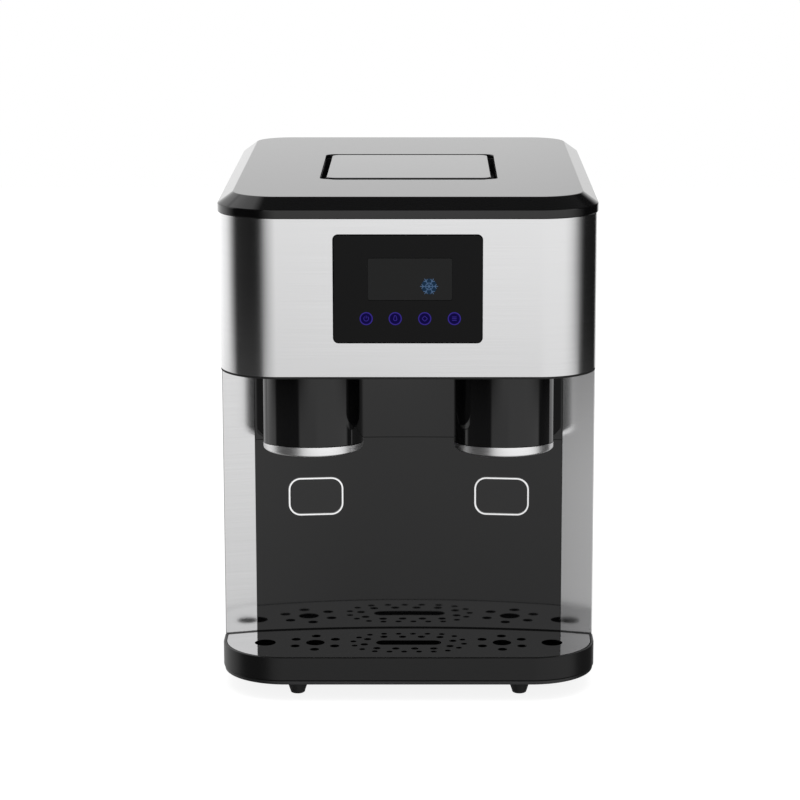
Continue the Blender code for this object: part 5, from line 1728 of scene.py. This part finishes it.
SIDE_RING = LightRing(
    ((-7, 0), (-5.5, 1.05), (0, 1.15), (3, 1.15), (7, 1), (11, 0.95), (14.5, 0.84), (19, 0.84), (30, 0.95),
     (38, 0.5), (42, 0)),
    ((-180, 1), (-96, 1), (-91, 0.02), (-29.8, 0.02), (-25, 1), (77, 1), (84, 0.02), (154, 0.02),
     (162, 0.85), (174, 0.85), (178, 1), (180, 1)),
)
HIGH_RING = LightRing(
    ((34, 0), (42, 1), (62, 0.95), (70, 0)),
    ((-180, 0), (-166, 0), (-158, 1), (-128, 1), (-118, 0), (180, 0)),
)
CEILING = LightRing(((34, 0), (42, 0.08), (90, 0.06)), ((-180, 1), (180, 1)))


@dataclass
class Studio:
    """Plain pale floor, soft light, and the camera of the photograph."""

    camera_place: tuple[float, float, float] = (0.0166, -2.5011, 0.7453)
    camera_pitch: float = 78.0
    lens: float = 127.1
    sensor: float = 36.0
    shift_x: float = -0.035
    rings: tuple[LightRing, ...] = (LOW_RING, HEAD_RING, SIDE_RING, HIGH_RING, CEILING)
    top_level: float = 1.25
    fill: float = 0.6
    key_power: float = 38.0
    key_size: float = 2.4
    key_place: tuple[float, float, float] = (0, -0.4, 3.0)
    floor_size: float = 6.0
    floor_colour: tuple[float, float, float, float] = (0.3, 0.3, 0.3, 1)
    floor_roughness: float = 0.9
    floor_white: float = 0.865

    def camera(self) -> None:
        """Set up the camera."""
        data = bpy.data.cameras.new("camera")
        data.lens = self.lens
        data.sensor_width = self.sensor
        data.shift_x = self.shift_x
        item = placed("camera", data, self.camera_place)
        item.rotation_euler = (math.radians(self.camera_pitch), 0, 0)
        bpy.context.scene.camera = item

    def _ramp(
        self, nodes: Nodes, angle: bpy.types.NodeSocket, reach: float, levels: tuple[tuple[float, float], ...]
    ) -> bpy.types.NodeSocket:
        """Turn an angle into a level.

        Args:
            nodes: the world's node tree.
            angle: output that gives the angle in radians.
            reach: the angle runs from minus to plus this many degrees.
            levels: pairs of degrees and level.

        Returns:
            The output that gives the level.
        """
        limit = math.radians(reach)
        spread = nodes.add("MapRange", {"Value": angle, "From Min": -limit, "From Max": limit})
        ramp = nodes.add("ValToRGB", {"Fac": spread.outputs["Result"]})
        stops = ramp.color_ramp.elements
        while len(stops) < len(levels):
            stops.new(0.5)
        for stop, (degrees, level) in zip(stops, levels):
            stop.position = (degrees + reach) / (2 * reach)
            share = level / self.top_level
            stop.color = (share, share, share, 1)
        return ramp.outputs["Color"]

    def world(self) -> None:
        """White for the camera, soft panels for reflections, plain grey for the fill light."""
        world = bpy.data.worlds.new("studio")
        world.use_nodes = True
        bpy.context.scene.world = world
        nodes = Nodes(world.node_tree)
        split = nodes.add("SeparateXYZ", {0: nodes.add("TexCoord").outputs["Generated"]}).outputs
        turn = nodes.math("ARCTAN2", split["X"], nodes.math("MULTIPLY", split["Y"], -1))
        climb = nodes.math("ARCSINE", split["Z"])
        total = 0.0
        for ring in self.rings:
            across = self._ramp(nodes, turn, HALF_TURN, ring.turns)
            upward = self._ramp(nodes, climb, QUARTER, ring.climbs)
            total = nodes.math("ADD", total, nodes.math("MULTIPLY", across, upward))
        light = nodes.math("MULTIPLY", total, self.top_level ** 2)
        rays = nodes.add("LightPath").outputs
        plain = nodes.add("Mix", {0: rays["Is Diffuse Ray"], 2: light, 3: self.fill}).outputs[0]
        direct = nodes.math("MAXIMUM", rays["Is Camera Ray"], rays["Is Transmission Ray"])
        shown = nodes.add("Mix", {0: direct, 2: plain, 3: 1.0}).outputs[0]
        nodes.fill(world.node_tree.nodes["Background"], {"Strength": shown, "Color": WHITE})

    def lamp(self) -> None:
        """A large soft lamp overhead that shows in no reflection."""
        data = bpy.data.lights.new("overhead", "AREA")
        data.shape = "SQUARE"
        data.size = self.key_size
        data.energy = self.key_power
        item = placed("overhead", data, self.key_place)
        item.visible_glossy = False
        item.visible_camera = False

    def floor(self) -> None:
        """A pale floor that is white to the camera and keeps a soft shadow."""
        half = self.floor_size / 2
        item = as_object("floor", rectangle(-half, half, -half, half))
        made = bpy.data.materials.new("pale_floor")
        made.use_nodes = True
        nodes = Nodes(made.node_tree)
        seen = nodes.add("LightPath").outputs["Is Camera Ray"]
        nodes.fill(made.node_tree.nodes["Principled BSDF"], {
            "Base Color": self.floor_colour, "Roughness": self.floor_roughness, "Specular IOR Level": 0.0,
            "Emission Color": WHITE, "Emission Strength": nodes.math("MULTIPLY", seen, self.floor_white),
        })
        item.data.materials.append(made)
        item.visible_glossy = False

    def build(self) -> None:
        """Set up the whole studio."""
        self.camera()
        self.world()
        self.lamp()
        self.floor()
        bpy.context.scene.view_settings.view_transform = "Standard"


def main() -> None:
    """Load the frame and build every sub-assembly."""
    logging.basicConfig(level=logging.INFO, format="%(message)s")
    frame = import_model()
    Studio().build()
    parts = (TopCover(), Head(), ControlPanel(), Bay(), Sides(), Spouts(), DripTray(), Underside(), Rear())
    for part in parts:
        LOG.info("sub-assembly %s", type(part).__name__)
        part.build()
    Insides().build(frame["nodes"])


if __name__ == "__main__":
    main()
